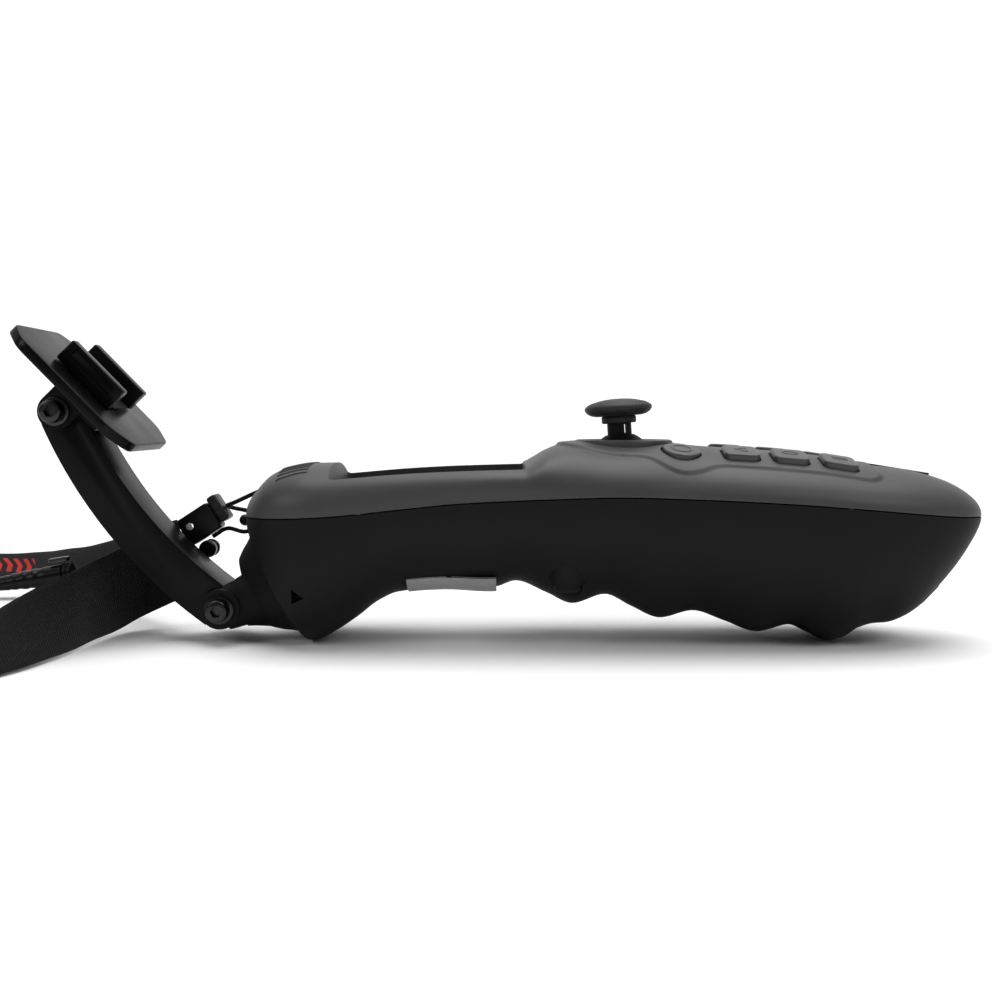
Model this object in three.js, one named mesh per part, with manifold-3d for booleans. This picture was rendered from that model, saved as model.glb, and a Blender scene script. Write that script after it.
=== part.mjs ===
// A one-hand motion controller with a tilting accessory plate and a neck lanyard.
// Millimetres, +Z up, +X towards the nose, +Y towards the side that the lanyard leaves from.
import * as THREE from 'three';
import { mergeVertices } from 'three/addons/utils/BufferGeometryUtils.js';
import Module from 'manifold-3d';

const wasm = await Module();
wasm.setup();

// ---------------------------------------------------------------- driving dimensions
const FRAME_SHIFT_X = -1.55;         // moves the middle of the object's length to X = 0
const GAP = 0.3;                     // clearance between pieces that touch
const WALL = 2.2;                    // thickness of the moulded shells

const TAIL_X = -62.7;                // rear tip of the body
const NOSE_X = 119.3;                // front tip of the body
const TAIL_ROUND = 20;               // length over which the plan view rounds off at the tail
const NOSE_ROUND = 45;               // the same at the nose
const REST_STEP = 4;                 // spacing of the body's sections, from one foot to the other
const REAR_FOOT_X = -47;             // where the body rests on its rear lobe
const FRONT_FOOT_X = 81;             // where it rests on the last finger crest

const TAIL_FACE = { x: -54.2, z: 14.8, tilt: 62.8 };   // slanted face that carries the arm's base
const WINDOW = { x: -17, z: 38.3, length: 44, width: 38, tilt: 2.8, thickness: 1.4 };
const STICK = { x: 30.35, z: 44, lean: -3.7, dome: 7.8 };   // gimbal centre, lean at rest
const PLATFORM = { x: 30.75, radius: 12.2, top: 49.8 };
const KEY = { first: 57.7, pitch: 11.75, row: 11.8, size: 8.5, rise: 1.8, depth: 4.2 };
const ROUND_KEY = { x: 43.2, y: 13.2, radius: 4.6, rise: 1.4 };
const LENS = { x: 99.4, length: 16, width: 1.4, depth: 2.6 };
const PLUG = { x: 16.1, y: 16.3, radius: 3.2, bottom: 13.9, top: 17.2 };
const PORT = { x: 106.2, length: 7.4, width: 12.4, depth: 1.3 };

const BATTERY = { x: 66, z: 21.2, radius: 7, length: 46 };

const ARM_HALF = 6.75;               // half width of the arm along Y
const EAR_IN = 7.05;                 // inner and outer faces of the clevis ears along Y
const EAR_OUT = 10;
const LOWER_PIVOT = { x: -68.4, z: 8.5, ear: 4.9 };
const UPPER_PIVOT = { x: -107.3, z: 56.7, ear: 4.4 };
const ARM_ARC = { x: -3.6, z: 99.4, inner: 107.1, outer: 117.6, end: 5.2 };
const PLATE = { size: 40, thickness: 2.5, corner: 5.6, tilt: 46, above_pivot: 6.6 };
const RAIL = { length: 17.4, height: 5.9, inner: 6.4, outer: 9.8, up_slope: 0.5 };
const FLANGE_SQUEEZE = 0.86;          // the trumpet is narrower across than it is high
const SCREW = { shank: 1.5, hole: 1.85, head: 2.75, head_height: 3, hex: 1.44 };

const WEBBING = { width: 20, thickness: 1.2 };
const CORD_RADIUS = 0.55;

// ---------------------------------------------------------------- small geometry kit
const radians = THREE.MathUtils.degToRad;

function smoothCurve(points) {
  // Monotone cubic through [x, value] points, flat at every peak and valley.
  const steps = points.slice(1).map((p, i) => p[0] - points[i][0]);
  const slopes = steps.map((h, i) => (points[i + 1][1] - points[i][1]) / h);
  const tangents = points.map((_, i) => {
    if (i === 0) return slopes[0];
    if (i === points.length - 1) return slopes[i - 1];
    if (slopes[i - 1] * slopes[i] <= 0) return 0;
    return 2 / (1 / slopes[i - 1] + 1 / slopes[i]);
  });
  return (x) => {
    let i = 0;
    while (i < steps.length - 1 && x > points[i + 1][0]) i += 1;
    const h = steps[i];
    const t = Math.min(1, Math.max(0, (x - points[i][0]) / h));
    const [v0, v1] = [points[i][1], points[i + 1][1]];
    return v0 * (1 + 2 * t) * (1 - t) ** 2 + tangents[i] * h * t * (1 - t) ** 2
      + v1 * t * t * (3 - 2 * t) + tangents[i + 1] * h * t * t * (t - 1);
  };
}

function toSolid(geometry) {
  const source = geometry.clone();
  for (const name of Object.keys(source.attributes)) {
    if (name !== 'position') source.deleteAttribute(name);
  }
  const merged = mergeVertices(source, 1e-4);
  const { array } = merged.attributes.position;
  const faces = [];
  const corner = (i) => new THREE.Vector3().fromArray(array, 3 * i);
  let volume = 0;
  for (let i = 0; i < merged.index.count; i += 3) {
    const [a, b, c] = [0, 1, 2].map((k) => merged.index.getX(i + k));
    if (a === b || b === c || c === a) continue;
    faces.push(a, b, c);
    volume += corner(a).dot(corner(b).cross(corner(c)));
  }
  if (volume < 0) faces.reverse();
  const mesh = new wasm.Mesh({
    numProp: 3, vertProperties: new Float32Array(array), triVerts: new Uint32Array(faces),
  });
  return new wasm.Manifold(mesh);
}

function toGeometry(solid) {
  const mesh = solid.getMesh();
  const geometry = new THREE.BufferGeometry();
  geometry.setAttribute('position', new THREE.BufferAttribute(mesh.vertProperties, 3));
  geometry.setIndex(new THREE.BufferAttribute(mesh.triVerts, 1));
  geometry.computeVertexNormals();
  return geometry;
}

function placed(geometry, x, y, z, turnY = 0) {
  const copy = geometry.clone();
  copy.rotateY(radians(turnY));
  copy.translate(x, y, z);
  return toSolid(copy);
}

function box(x, y, z, sizeX, sizeY, sizeZ, turnY = 0) {
  return placed(new THREE.BoxGeometry(sizeX, sizeY, sizeZ), x, y, z, turnY);
}

function cylinderY(x, z, radius, y0, y1, sides = 24) {
  return placed(new THREE.CylinderGeometry(radius, radius, y1 - y0, sides), x, (y0 + y1) / 2, z);
}

function cylinderZ(x, y, radius, z0, z1, sides = 24) {
  const geometry = new THREE.CylinderGeometry(radius, radius, z1 - z0, sides);
  geometry.rotateX(Math.PI / 2);
  return placed(geometry, x, y, (z0 + z1) / 2);
}

function prismY(outline, y0, y1) {
  // Outline of [x, z] points, extruded along Y.
  const shape = new THREE.Shape(outline.map(([x, z]) => new THREE.Vector2(x, z)));
  const geometry = new THREE.ExtrudeGeometry(shape, { depth: y1 - y0, bevelEnabled: false });
  geometry.rotateX(Math.PI / 2);
  geometry.translate(0, y1, 0);
  return toSolid(geometry);
}

function loft(rings) {
  // Closed skin over rings of Vector3 with equal counts; each end is closed by strips across it.
  const count = rings[0].length;
  const faces = [];
  for (let i = 0; i < rings.length - 1; i += 1) {
    for (let k = 0; k < count; k += 1) {
      const [a, b] = [i * count + k, i * count + (k + 1) % count];
      faces.push(a, b, b + count, a, b + count, a + count);
    }
  }
  const last = (rings.length - 1) * count;
  for (let k = 0; k < count / 2 - 1; k += 1) {
    const [a, b, c, d] = [k, k + 1, count - 2 - k, count - 1 - k];
    if (b !== c) faces.push(c, b, a, last + a, last + b, last + c);
    faces.push(d, c, a, last + a, last + c, last + d);
  }
  const geometry = new THREE.BufferGeometry().setFromPoints(rings.flat());
  geometry.setIndex(faces);
  return toSolid(geometry);
}

function roundedRectangle(width, height, radius) {
  const [w, h] = [width / 2, height / 2];
  const shape = new THREE.Shape();
  shape.moveTo(-w + radius, -h);
  shape.lineTo(w - radius, -h);
  shape.absarc(w - radius, -h + radius, radius, -Math.PI / 2, 0);
  shape.absarc(w - radius, h - radius, radius, 0, Math.PI / 2);
  shape.absarc(-w + radius, h - radius, radius, Math.PI / 2, Math.PI);
  shape.absarc(-w + radius, -h + radius, radius, Math.PI, 1.5 * Math.PI);
  return shape;
}

function cordTube(points, radius, sides, steps) {
  const path = new THREE.CatmullRomCurve3(points.map((p) => new THREE.Vector3(...p)));
  const section = new THREE.Shape();
  for (let k = 0; k < sides; k += 1) {
    const angle = 2 * Math.PI * k / sides;
    const corner = [radius * Math.cos(angle), radius * Math.sin(angle)];
    if (k === 0) section.moveTo(...corner);
    else section.lineTo(...corner);
  }
  const options = { steps, extrudePath: path, bevelEnabled: false };
  return toSolid(new THREE.ExtrudeGeometry(section, options));
}

// ---------------------------------------------------------------- the body's surface
const crownAt = smoothCurve([
  [-62.7, 31.5], [-61.9, 34.7], [-59.6, 37.9], [-56.3, 41.2], [-52.5, 42.9], [-46.3, 43.9],
  [-38, 44.0], [-10, 43.9], [5.5, 44.0], [8.5, 45.4], [11.2, 47.1], [15.5, 48.7], [22, 49.1],
  [38, 49.0], [43, 48.3], [50, 47.6], [60, 47.0], [75, 45.8], [87.5, 44.0], [98, 42.8], [104, 41.7],
  [110, 39.9], [113, 38.5], [116, 36.6], [118.2, 34.6], [119.3, 32.6],
]);
const seamAt = smoothCurve([
  [-62.7, 31.1], [-46.5, 31.7], [-39.6, 32.1], [-23.3, 33.8], [-9.3, 35.2], [14, 36.3],
  [28, 36.7], [46.5, 36.2], [65, 35.3], [84, 33.9], [97, 32.7], [109, 31.6], [119.3, 31.0],
]);
const keelAt = smoothCurve([
  [-62.7, 0.6], [REAR_FOOT_X, 0], [-44.2, 0.5], [-41, 2.1], [-35.3, 5.9], [-30.2, 9.8],
  [-25.2, 12.0], [-17.6, 12.8], [-1, 13.3], [3.8, 14.8], [11.3, 11.9], [17.9, 9.1], [25.9, 11.4],
  [32.7, 8.3], [39.6, 5.5], [47.6, 7.3], [55.8, 4.7], [63.6, 2.0], [71.4, 3.9], [76.5, 1.8],
  [FRONT_FOOT_X, 0], [84, 0.7], [87.5, 2.9], [91.5, 4.1], [95.5, 4.4], [99, 5.6], [102.5, 7.8],
  [105.4, 10.7], [108.9, 14.5], [111.9, 18.2], [115, 22.8], [117.4, 26.8], [119.3, 30.8],
]);
const widthCurve = smoothCurve([
  [-62.7, 22.4], [-42, 22.8], [-20, 23.3], [0, 23.7], [25, 24.8], [45, 25], [62, 24.9],
  [76, 24.5], [119.3, 24.3],
]);
const shoulderAt = smoothCurve([[-62.7, 2.2], [-40, 2.7], [5, 4], [16, 2.4], [30, 2], [119.3, 2]]);
const cavityFloorAt = smoothCurve([
  [-62.7, 3], [-44, 4.5], [-34, 10], [-20, 15.4], [5, 17.3], [26, 14.4], [48, 10.4], [70, 6.8],
  [94, 6.8], [102, 10], [111, 20], [119.3, 30],
]);
const bellyAt = smoothCurve([[-62.7, 2.3], [-44, 2.6], [-20, 2.3], [60, 2.3], [80, 2.6], [119.3, 2.2]]);

function rounding(distance, exponent) {
  const u = Math.min(1, Math.max(0, distance));
  return (1 - u ** exponent) ** (1 / exponent);
}

function halfWidthAt(x) {
  const tail = rounding((TAIL_X + TAIL_ROUND - x) / TAIL_ROUND, 2.4);
  const nose = rounding((x - NOSE_X + NOSE_ROUND) / NOSE_ROUND, 2.2);
  return widthCurve(x) * tail * nose;
}

function topAt(x, y) {
  const side = Math.min(1, Math.abs(y) / halfWidthAt(x));
  return seamAt(x) + (crownAt(x) - seamAt(x)) * rounding(side, shoulderAt(x));
}

function halfSection(x, middle, half, height, exponent, count) {
  // Points from +Y to -Y over a superellipse; a negative height goes below the middle line.
  const points = [];
  for (let k = 0; k <= count; k += 1) {
    const angle = Math.PI * k / count;
    const across = Math.sign(Math.cos(angle)) * Math.abs(Math.cos(angle)) ** (2 / exponent);
    const up = Math.sin(angle) ** (2 / exponent);
    points.push(new THREE.Vector3(x, half * across, middle + height * (k % count ? up : 0)));
  }
  return points;
}

const bodyStations = [-62.65, -62.2, -61.2, -59.4, -57, -54, -50.5];
for (let x = REAR_FOOT_X; x < 115; x += REST_STEP) bodyStations.push(x);
bodyStations.push(116, 117.6, 118.7, 119.25);

function outerHalf(upper) {
  return loft(bodyStations.map((x) => {
    const middle = seamAt(x) + (upper ? GAP / 2 : -GAP / 2);
    const reach = upper ? Math.max(0.3, crownAt(x) - middle) : Math.min(-0.3, keelAt(x) - middle);
    const ring = halfSection(x, middle, halfWidthAt(x), reach, upper ? shoulderAt(x) : bellyAt(x), 12);
    return upper ? ring : ring.reverse();
  }));
}

function behindTail(offset) {
  // Everything behind the slanted tail face, moved forward into the body by the offset.
  const slope = new THREE.Vector2(Math.cos(radians(TAIL_FACE.tilt)), -Math.sin(radians(TAIL_FACE.tilt)));
  const inward = new THREE.Vector2(-slope.y, slope.x);
  const middle = new THREE.Vector2(TAIL_FACE.x, TAIL_FACE.z).addScaledVector(inward, offset);
  const along = (t) => middle.clone().addScaledVector(slope, t).toArray();
  return prismY([along(-60), along(40), [-140, -60], [-140, 100]], -40, 40);
}

function cavity() {
  const rings = [];
  for (let x = -57; x <= 114; x += 8.5) {
    const middle = seamAt(x);
    const half = halfWidthAt(x) - WALL;
    const roof = halfSection(x, middle, half, crownAt(x) - WALL - middle, shoulderAt(x), 8);
    const floor = halfSection(x, middle, half, cavityFloorAt(x) - middle, bellyAt(x), 8).reverse();
    rings.push([...roof, ...floor.slice(1, -1)]);
  }
  return loft(rings).subtract(behindTail(2.6));
}

function surfaceFrame(x, y) {
  // Matrix whose origin is on the top surface, with its Z axis along the outward normal.
  const d = 0.4;
  const alongX = new THREE.Vector3(2 * d, 0, topAt(x + d, y) - topAt(x - d, y));
  const alongY = new THREE.Vector3(0, 2 * d, topAt(x, y + d) - topAt(x, y - d));
  const normal = alongX.clone().cross(alongY).normalize();
  const right = alongX.normalize();
  const across = normal.clone().cross(right);
  return new THREE.Matrix4().makeBasis(right, across, normal).setPosition(x, y, topAt(x, y));
}

// ---------------------------------------------------------------- shells
function keyPlaces() {
  const places = [];
  for (const [side, sign] of [['near', -1], ['far', 1]]) {
    for (let i = 0; i < 3; i += 1) {
      places.push({ name: `key_${side}_${i + 1}`, x: KEY.first + i * KEY.pitch, y: sign * KEY.row });
    }
  }
  return places;
}

function keyBlock(size, radius, below, above, bevel) {
  const shape = roundedRectangle(size - 2 * bevel, size - 2 * bevel, radius);
  const options = { depth: below + above - 2 * bevel, curveSegments: 2, bevelEnabled: bevel > 0 };
  Object.assign(options, { bevelThickness: bevel, bevelSize: bevel, bevelSegments: 1 });
  return new THREE.ExtrudeGeometry(shape, options).translate(0, 0, bevel - below);
}

function roundBlock(radius, below, above, sides) {
  const geometry = new THREE.CylinderGeometry(radius, radius, below + above, sides);
  return geometry.rotateX(Math.PI / 2).translate(0, 0, (above - below) / 2);
}

function windowOpening() {
  return box(WINDOW.x, 0, WINDOW.z + 2, WINDOW.length, WINDOW.width, 16, -WINDOW.tilt);
}

function lanyardNotch() {
  const recess = box(-61.1, 10, 36, 9.8, 5, 5);
  return recess.add(cylinderY(-58.3, 36, 1.2, 6.2, 13.8, 16));
}

function upperShell() {
  const platform = cylinderZ(PLATFORM.x, 0, PLATFORM.radius, 38, PLATFORM.top, 28);
  let shell = outerHalf(true).add(platform).subtract(cavity());
  const ball = new THREE.SphereGeometry(STICK.dome + 0.4, 22, 14);
  shell = shell.subtract(placed(ball, STICK.x, 0, STICK.z)).subtract(windowOpening());
  for (const { x, y } of keyPlaces()) {
    const hole = keyBlock(KEY.size + 2 * GAP, 1.6, 5, 3, 0).applyMatrix4(surfaceFrame(x, y));
    shell = shell.subtract(toSolid(hole));
  }
  for (const sign of [-1, 1]) {
    const place = surfaceFrame(ROUND_KEY.x, sign * ROUND_KEY.y);
    const hole = roundBlock(ROUND_KEY.radius + GAP + 0.05, 5, 3, 20).applyMatrix4(place);
    shell = shell.subtract(toSolid(hole));
  }
  const slot = new THREE.BoxGeometry(LENS.length + 2 * GAP, LENS.width + 2 * GAP, 9);
  shell = shell.subtract(toSolid(slot.applyMatrix4(surfaceFrame(LENS.x, 0))));
  return shell.subtract(lanyardNotch());
}

function portFrame() {
  // Matrix on the underside of the nose, with its Z axis pointing out of the body.
  const d = 0.5;
  const along = new THREE.Vector3(2 * d, 0, keelAt(PORT.x + d) - keelAt(PORT.x - d)).normalize();
  const across = new THREE.Vector3(0, -1, 0);
  const normal = along.clone().cross(across);
  return new THREE.Matrix4().makeBasis(along, across, normal)
    .setPosition(PORT.x, 0, keelAt(PORT.x));
}

function portBlock(length, width, inside, outside) {
  const block = new THREE.BoxGeometry(length, width, inside + outside);
  return toSolid(block.translate(0, 0, (outside - inside) / 2).applyMatrix4(portFrame()));
}

function lowerShell() {
  let shell = outerHalf(false).subtract(behindTail(0)).subtract(cavity());
  for (const sign of [-1, 1]) {
    const boss = cylinderZ(PLUG.x, sign * PLUG.y, 4.6, 16, 24, 20);
    const filled = shell.add(boss.intersect(outerHalf(false)));
    shell = filled.subtract(cylinderZ(PLUG.x, sign * PLUG.y, PLUG.radius + GAP, 0, PLUG.top + 3));
    shell = shell.subtract(cylinderZ(PLUG.x, sign * PLUG.y, 1.3, 0, 30, 12));
  }
  shell = shell.subtract(portBlock(PORT.length + 2 * GAP, PORT.width + 2 * GAP, PORT.depth + 0.4, 3));
  shell = shell.subtract(portBlock(3.6, 9.6, 12, 0));
  return shell.subtract(tailBore(2.4, -1, 12));
}

function onTailAxis(geometry) {
  // Turns a shape built along +Z so that it runs backwards out of the slanted tail face.
  const backwards = new THREE.Vector3(
    -Math.sin(radians(TAIL_FACE.tilt)), 0, -Math.cos(radians(TAIL_FACE.tilt)),
  );
  const turn = new THREE.Quaternion().setFromUnitVectors(new THREE.Vector3(0, 0, 1), backwards);
  return geometry.applyQuaternion(turn).translate(TAIL_FACE.x, 0, TAIL_FACE.z);
}

function tailBore(radius, from, to) {
  // A bore through the tail face; negative is outside the body, positive is inside it.
  const geometry = new THREE.CylinderGeometry(radius, radius, to - from, 16);
  geometry.rotateX(Math.PI / 2).translate(0, 0, -(from + to) / 2);
  return toSolid(onTailAxis(geometry));
}

// ---------------------------------------------------------------- display, lens, label
function displayWindow() {
  const { x, z, length, width, thickness, tilt } = WINDOW;
  return box(x, 0, z + thickness / 2, length - 2 * GAP, width - 2 * GAP, thickness, -tilt);
}

function displayModule() {
  return box(WINDOW.x, 0, WINDOW.z - GAP - 1.9, WINDOW.length + 1, WINDOW.width, 3.4, -WINDOW.tilt);
}

function statusLens() {
  const bar = new THREE.BoxGeometry(LENS.length, LENS.width, LENS.depth);
  return toSolid(bar.translate(0, 0, 0.1 - LENS.depth / 2).applyMatrix4(surfaceFrame(LENS.x, 0)));
}

function ratingLabel() {
  // A thin sticker wrapped round the underside between the rear lobe and the first groove.
  const rings = [];
  for (let x = -22.4; x <= -0.9; x += 4.3) {
    const middle = seamAt(x);
    const ring = (extra) => {
      const half = halfWidthAt(x) + extra;
      return halfSection(x, middle, half, keelAt(x) - extra - middle, bellyAt(x), 18).slice(5, 14);
    };
    rings.push([...ring(0.65), ...ring(0.3).reverse()]);
  }
  return loft(rings);
}

// ---------------------------------------------------------------- joystick
function leaning(solidGeometry) {
  return toSolid(solidGeometry.rotateY(radians(STICK.lean)).translate(STICK.x, 0, STICK.z));
}

function latheAboutStick(profile, sides) {
  const points = profile.map(([r, h]) => new THREE.Vector2(r, h));
  const geometry = new THREE.LatheGeometry([...points, points[0]], sides).rotateX(Math.PI / 2);
  return leaning(geometry);
}

function joystickCap() {
  return latheAboutStick([[0, 12.5], [6.9, 12.3], [7.9, 12.6], [8.35, 13.4], [7.9, 14.5],
    [6.2, 15.2], [3.4, 15.8], [0, 16.0]], 28);
}

function joystickCollar() {
  return latheAboutStick([[3.35, 9.9], [4.0, 9.9], [4.3, 10.2], [4.3, 11.4], [4.0, 11.7],
    [3.35, 11.7]], 20);
}

function joystickStem() {
  const profile = [[0, -1.3], [2, -1.3], [2, 4], [3, 5], [3, 12.2], [0, 12.2]];
  const stem = latheAboutStick(profile, 24);
  const slot = leaning(new THREE.BoxGeometry(0.7, 8, 2.2).translate(1.3, 0, 8.5));
  return stem.subtract(slot);
}

function joystickDome() {
  const arc = [];
  for (let k = 0; k <= 4; k += 1) {
    const angle = radians(26 + 8.4 * k);
    arc.push([STICK.dome * Math.sin(angle), STICK.dome * Math.cos(angle)]);
  }
  const inner = [...arc].reverse().map(([r, h]) => [Math.max(3.35, r * 0.86), h * 0.86]);
  return latheAboutStick([...arc, ...inner], 24);
}

function gimbalYoke() {
  const frame = box(STICK.x, 0, STICK.z, 11, 11, 2.2).subtract(box(STICK.x, 0, STICK.z, 6, 6, 5));
  const axle = cylinderY(STICK.x, STICK.z, 0.8, -8, 8, 12);
  return frame.add(axle.subtract(box(STICK.x, 0, STICK.z, 7, 8, 5)));
}

function joystickHousing() {
  const [bottom, top] = [31.2, 45.3];
  const block = box(STICK.x, 0, (bottom + top) / 2, 19, 16.6, top - bottom);
  const hollow = box(STICK.x, 0, bottom + 2 + 8, 15.8, 13.8, 16);
  const sides = box(STICK.x, 0, 47, 24, 13.8, 5.4);
  return block.subtract(hollow).subtract(sides).subtract(cylinderY(STICK.x, STICK.z, 1.1, -12, 12, 12));
}

// ---------------------------------------------------------------- keys
function rectangularKey(x, y) {
  return toSolid(keyBlock(KEY.size, 1.2, KEY.depth - KEY.rise, KEY.rise, 0.35)
    .applyMatrix4(surfaceFrame(x, y)));
}

function roundKey(sign) {
  const r = ROUND_KEY.radius;
  const profile = [[0, -2.4], [r, -2.4], [r, ROUND_KEY.rise - 0.5], [r - 0.5, ROUND_KEY.rise],
    [0, ROUND_KEY.rise]].map(([a, b]) => new THREE.Vector2(a, b));
  const geometry = new THREE.LatheGeometry(profile, 28).rotateX(Math.PI / 2);
  return toSolid(geometry.applyMatrix4(surfaceFrame(ROUND_KEY.x, sign * ROUND_KEY.y)));
}

function keypadMat() {
  // A curved rubber sheet that follows the top shell below the six keys.
  const rings = [];
  for (let x = 51.5; x <= 88; x += 6) {
    const ring = [];
    for (let y = -17; y <= 17; y += 4.25) ring.push(new THREE.Vector3(x, y, topAt(x, y) - 4.2));
    for (let y = 17; y >= -17; y -= 4.25) ring.push(new THREE.Vector3(x, y, topAt(x, y) - 5.2));
    rings.push(ring);
  }
  return loft(rings);
}

// ---------------------------------------------------------------- parts inside the body
function mainBoard() {
  return box(22, 0, 30, 118, 31, 1.6);
}

function keyBoard() {
  return box(68, 0, 34.2, 34, 26, 1.2);
}

function batteryCell() {
  const { x, z, radius, length } = BATTERY;
  return placed(new THREE.CylinderGeometry(radius, radius, length, 20).rotateZ(Math.PI / 2), x, 0, z);
}

function batteryCradle() {
  const tray = box(BATTERY.x, 0, BATTERY.z - 5, BATTERY.length + 3, 15, 5);
  const radius = BATTERY.radius + 0.4;
  const bed = new THREE.CylinderGeometry(radius, radius, BATTERY.length + 1, 20).rotateZ(Math.PI / 2);
  return tray.subtract(placed(bed, BATTERY.x, 0, BATTERY.z));
}

function chargeSocket() {
  return toSolid(new THREE.BoxGeometry(3, 9, 5.5).translate(0, 0, -5.2).applyMatrix4(portFrame()));
}

function radioShield() {
  return box(-12, 0, 32.1, 20, 16, 1.8);
}

function antennaStrip() {
  return box(88, 0, 31.5, 5, 24, 0.8);
}

function shellScrew(sign) {
  const place = [PLUG.x, sign * PLUG.y];
  const head = cylinderZ(...place, 2.4, PLUG.top + 0.4, PLUG.top + 2.4, 16);
  const thread = cylinderZ(...place, 1.0, PLUG.top + 2, PLUG.top + 9, 12);
  const slotZ = PLUG.top + 0.6;
  const cross = box(...place, slotZ, 2.6, 0.6, 1.2).add(box(...place, slotZ, 0.6, 2.6, 1.2));
  return head.add(thread).subtract(cross);
}

function screwPlug(sign) {
  return cylinderZ(PLUG.x, sign * PLUG.y, PLUG.radius, PLUG.bottom, PLUG.top, 24);
}

function portCover() {
  return portBlock(PORT.length, PORT.width, PORT.depth, 0.1);
}

function lanyardPin() {
  return cylinderY(-58.3, 36, 0.9, 6.5, 13.5, 12);
}

// ---------------------------------------------------------------- arm base and arm
function armBase() {
  const profile = [[0, GAP], [15.2, GAP], [15.2, 0.9], [13.2, 2.8], [11.6, 5.2], [9.6, 7.6], [7.9, 10.2],
    [7.2, 12.5], [6.6, 14], [0, 14]].map(([r, h]) => new THREE.Vector2(r, h));
  const trumpet = toSolid(onTailAxis(new THREE.LatheGeometry([...profile, profile[0]], 28)
    .rotateX(Math.PI / 2).scale(1, FLANGE_SQUEEZE, 1)));
  const neck = prismY([[-70.6, 12.9], [-60, 21], [-55.8, 4], [-66.5, 3.8]], -EAR_OUT, EAR_OUT);
  const ears = cylinderY(LOWER_PIVOT.x, LOWER_PIVOT.z, LOWER_PIVOT.ear, -EAR_OUT, EAR_OUT, 32);
  const slot = prismY([[-61.6, 12.6], [-66, 22], [-90, 30], [-90, -10], [-66, -4], [-62.4, 2.4]],
    -EAR_IN, EAR_IN);
  const swing = cylinderY(LOWER_PIVOT.x, LOWER_PIVOT.z, 7, -EAR_IN, EAR_IN, 28);
  const hole = cylinderY(LOWER_PIVOT.x, LOWER_PIVOT.z, SCREW.hole, -14, 14, 16);
  return trumpet.add(neck).add(ears).subtract(slot).subtract(swing).subtract(hole)
    .subtract(tailBore(2.4, -5, 1)).subtract(tailBore(4.2, -20, -4));
}

function baseBolt() {
  const head = tailBore(3.6, -6.6, -4.4);
  return head.add(tailBore(1.9, -5, 9)).subtract(tailBore(1.5, -8, -5.6));
}

function arcPoints(radius, from, to, count) {
  const points = [];
  for (let k = 0; k <= count; k += 1) {
    const angle = radians(from + (to - from) * k / count);
    points.push([ARM_ARC.x + radius * Math.cos(angle), ARM_ARC.z + radius * Math.sin(angle)]);
  }
  return points;
}

function roundEnd(centre, radius, from, to, count) {
  const points = [];
  for (let k = 0; k <= count; k += 1) {
    const angle = radians(from + (to - from) * k / count);
    points.push([centre.x + radius * Math.cos(angle), centre.z + radius * Math.sin(angle)]);
  }
  return points;
}

function tiltArm() {
  const outline = [
    ...arcPoints(ARM_ARC.outer, 203, 234, 14),
    ...roundEnd(LOWER_PIVOT, ARM_ARC.end, 240, 410, 10),
    ...arcPoints(ARM_ARC.inner, 234, 203, 14),
    ...roundEnd(UPPER_PIVOT, ARM_ARC.end, 20, 195, 10),
  ];
  let arm = prismY(outline, -ARM_HALF, ARM_HALF);
  for (const pivot of [LOWER_PIVOT, UPPER_PIVOT]) {
    arm = arm.subtract(cylinderY(pivot.x, pivot.z, SCREW.hole, -9, 9, 16));
  }
  return arm;
}

// ---------------------------------------------------------------- accessory plate
const PLATE_DOWN = [Math.cos(radians(PLATE.tilt)), -Math.sin(radians(PLATE.tilt))];
const PLATE_OUT = [Math.sin(radians(PLATE.tilt)), Math.cos(radians(PLATE.tilt))];

function plateFrame() {
  // Origin on the underside of the plate above the pivot, +X down the slope, +Z out of the plate.
  const lift = PLATE.above_pivot;
  return new THREE.Matrix4().makeBasis(
    new THREE.Vector3(PLATE_DOWN[0], 0, PLATE_DOWN[1]),
    new THREE.Vector3(0, 1, 0),
    new THREE.Vector3(PLATE_OUT[0], 0, PLATE_OUT[1]),
  ).setPosition(UPPER_PIVOT.x + lift * PLATE_OUT[0], 0, UPPER_PIVOT.z + lift * PLATE_OUT[1]);
}

function onPlate(geometry) {
  return toSolid(geometry.applyMatrix4(plateFrame()));
}

function accessoryPlate() {
  const half = PLATE.size / 2;
  const cut = half - PLATE.corner;
  const octagon = new THREE.Shape([[half, -cut], [half, cut], [cut, half], [-cut, half], [-half, cut],
    [-half, -cut], [-cut, -half], [cut, -half]].map((p) => new THREE.Vector2(...p)));
  const sheet = { depth: PLATE.thickness - 0.8, bevelEnabled: true, bevelThickness: 0.4 };
  Object.assign(sheet, { bevelSize: 0.4, bevelOffset: -0.4, bevelSegments: 1 });
  let plate = onPlate(new THREE.ExtrudeGeometry(octagon, sheet).translate(0, 0, 0.4));
  const web = PLATE.above_pivot;
  for (const side of [-1, 1]) {
    const [y0, y1] = [side * EAR_IN, side * EAR_OUT].sort((a, b) => a - b);
    const root = new THREE.BoxGeometry(2 * UPPER_PIVOT.ear, y1 - y0, web + 0.5);
    plate = plate.add(onPlate(root.translate(0, (y0 + y1) / 2, 0.5 - (web + 0.5) / 2)));
    const foot = new THREE.BoxGeometry(9, y1 - y0, 3.4);
    plate = plate.add(onPlate(foot.translate(5.4, (y0 + y1) / 2, -1.4)));
    plate = plate.add(cylinderY(UPPER_PIVOT.x, UPPER_PIVOT.z, UPPER_PIVOT.ear, y0, y1, 32));
  }
  return plate.subtract(cylinderY(UPPER_PIVOT.x, UPPER_PIVOT.z, SCREW.hole, -12, 12, 16));
}

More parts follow.
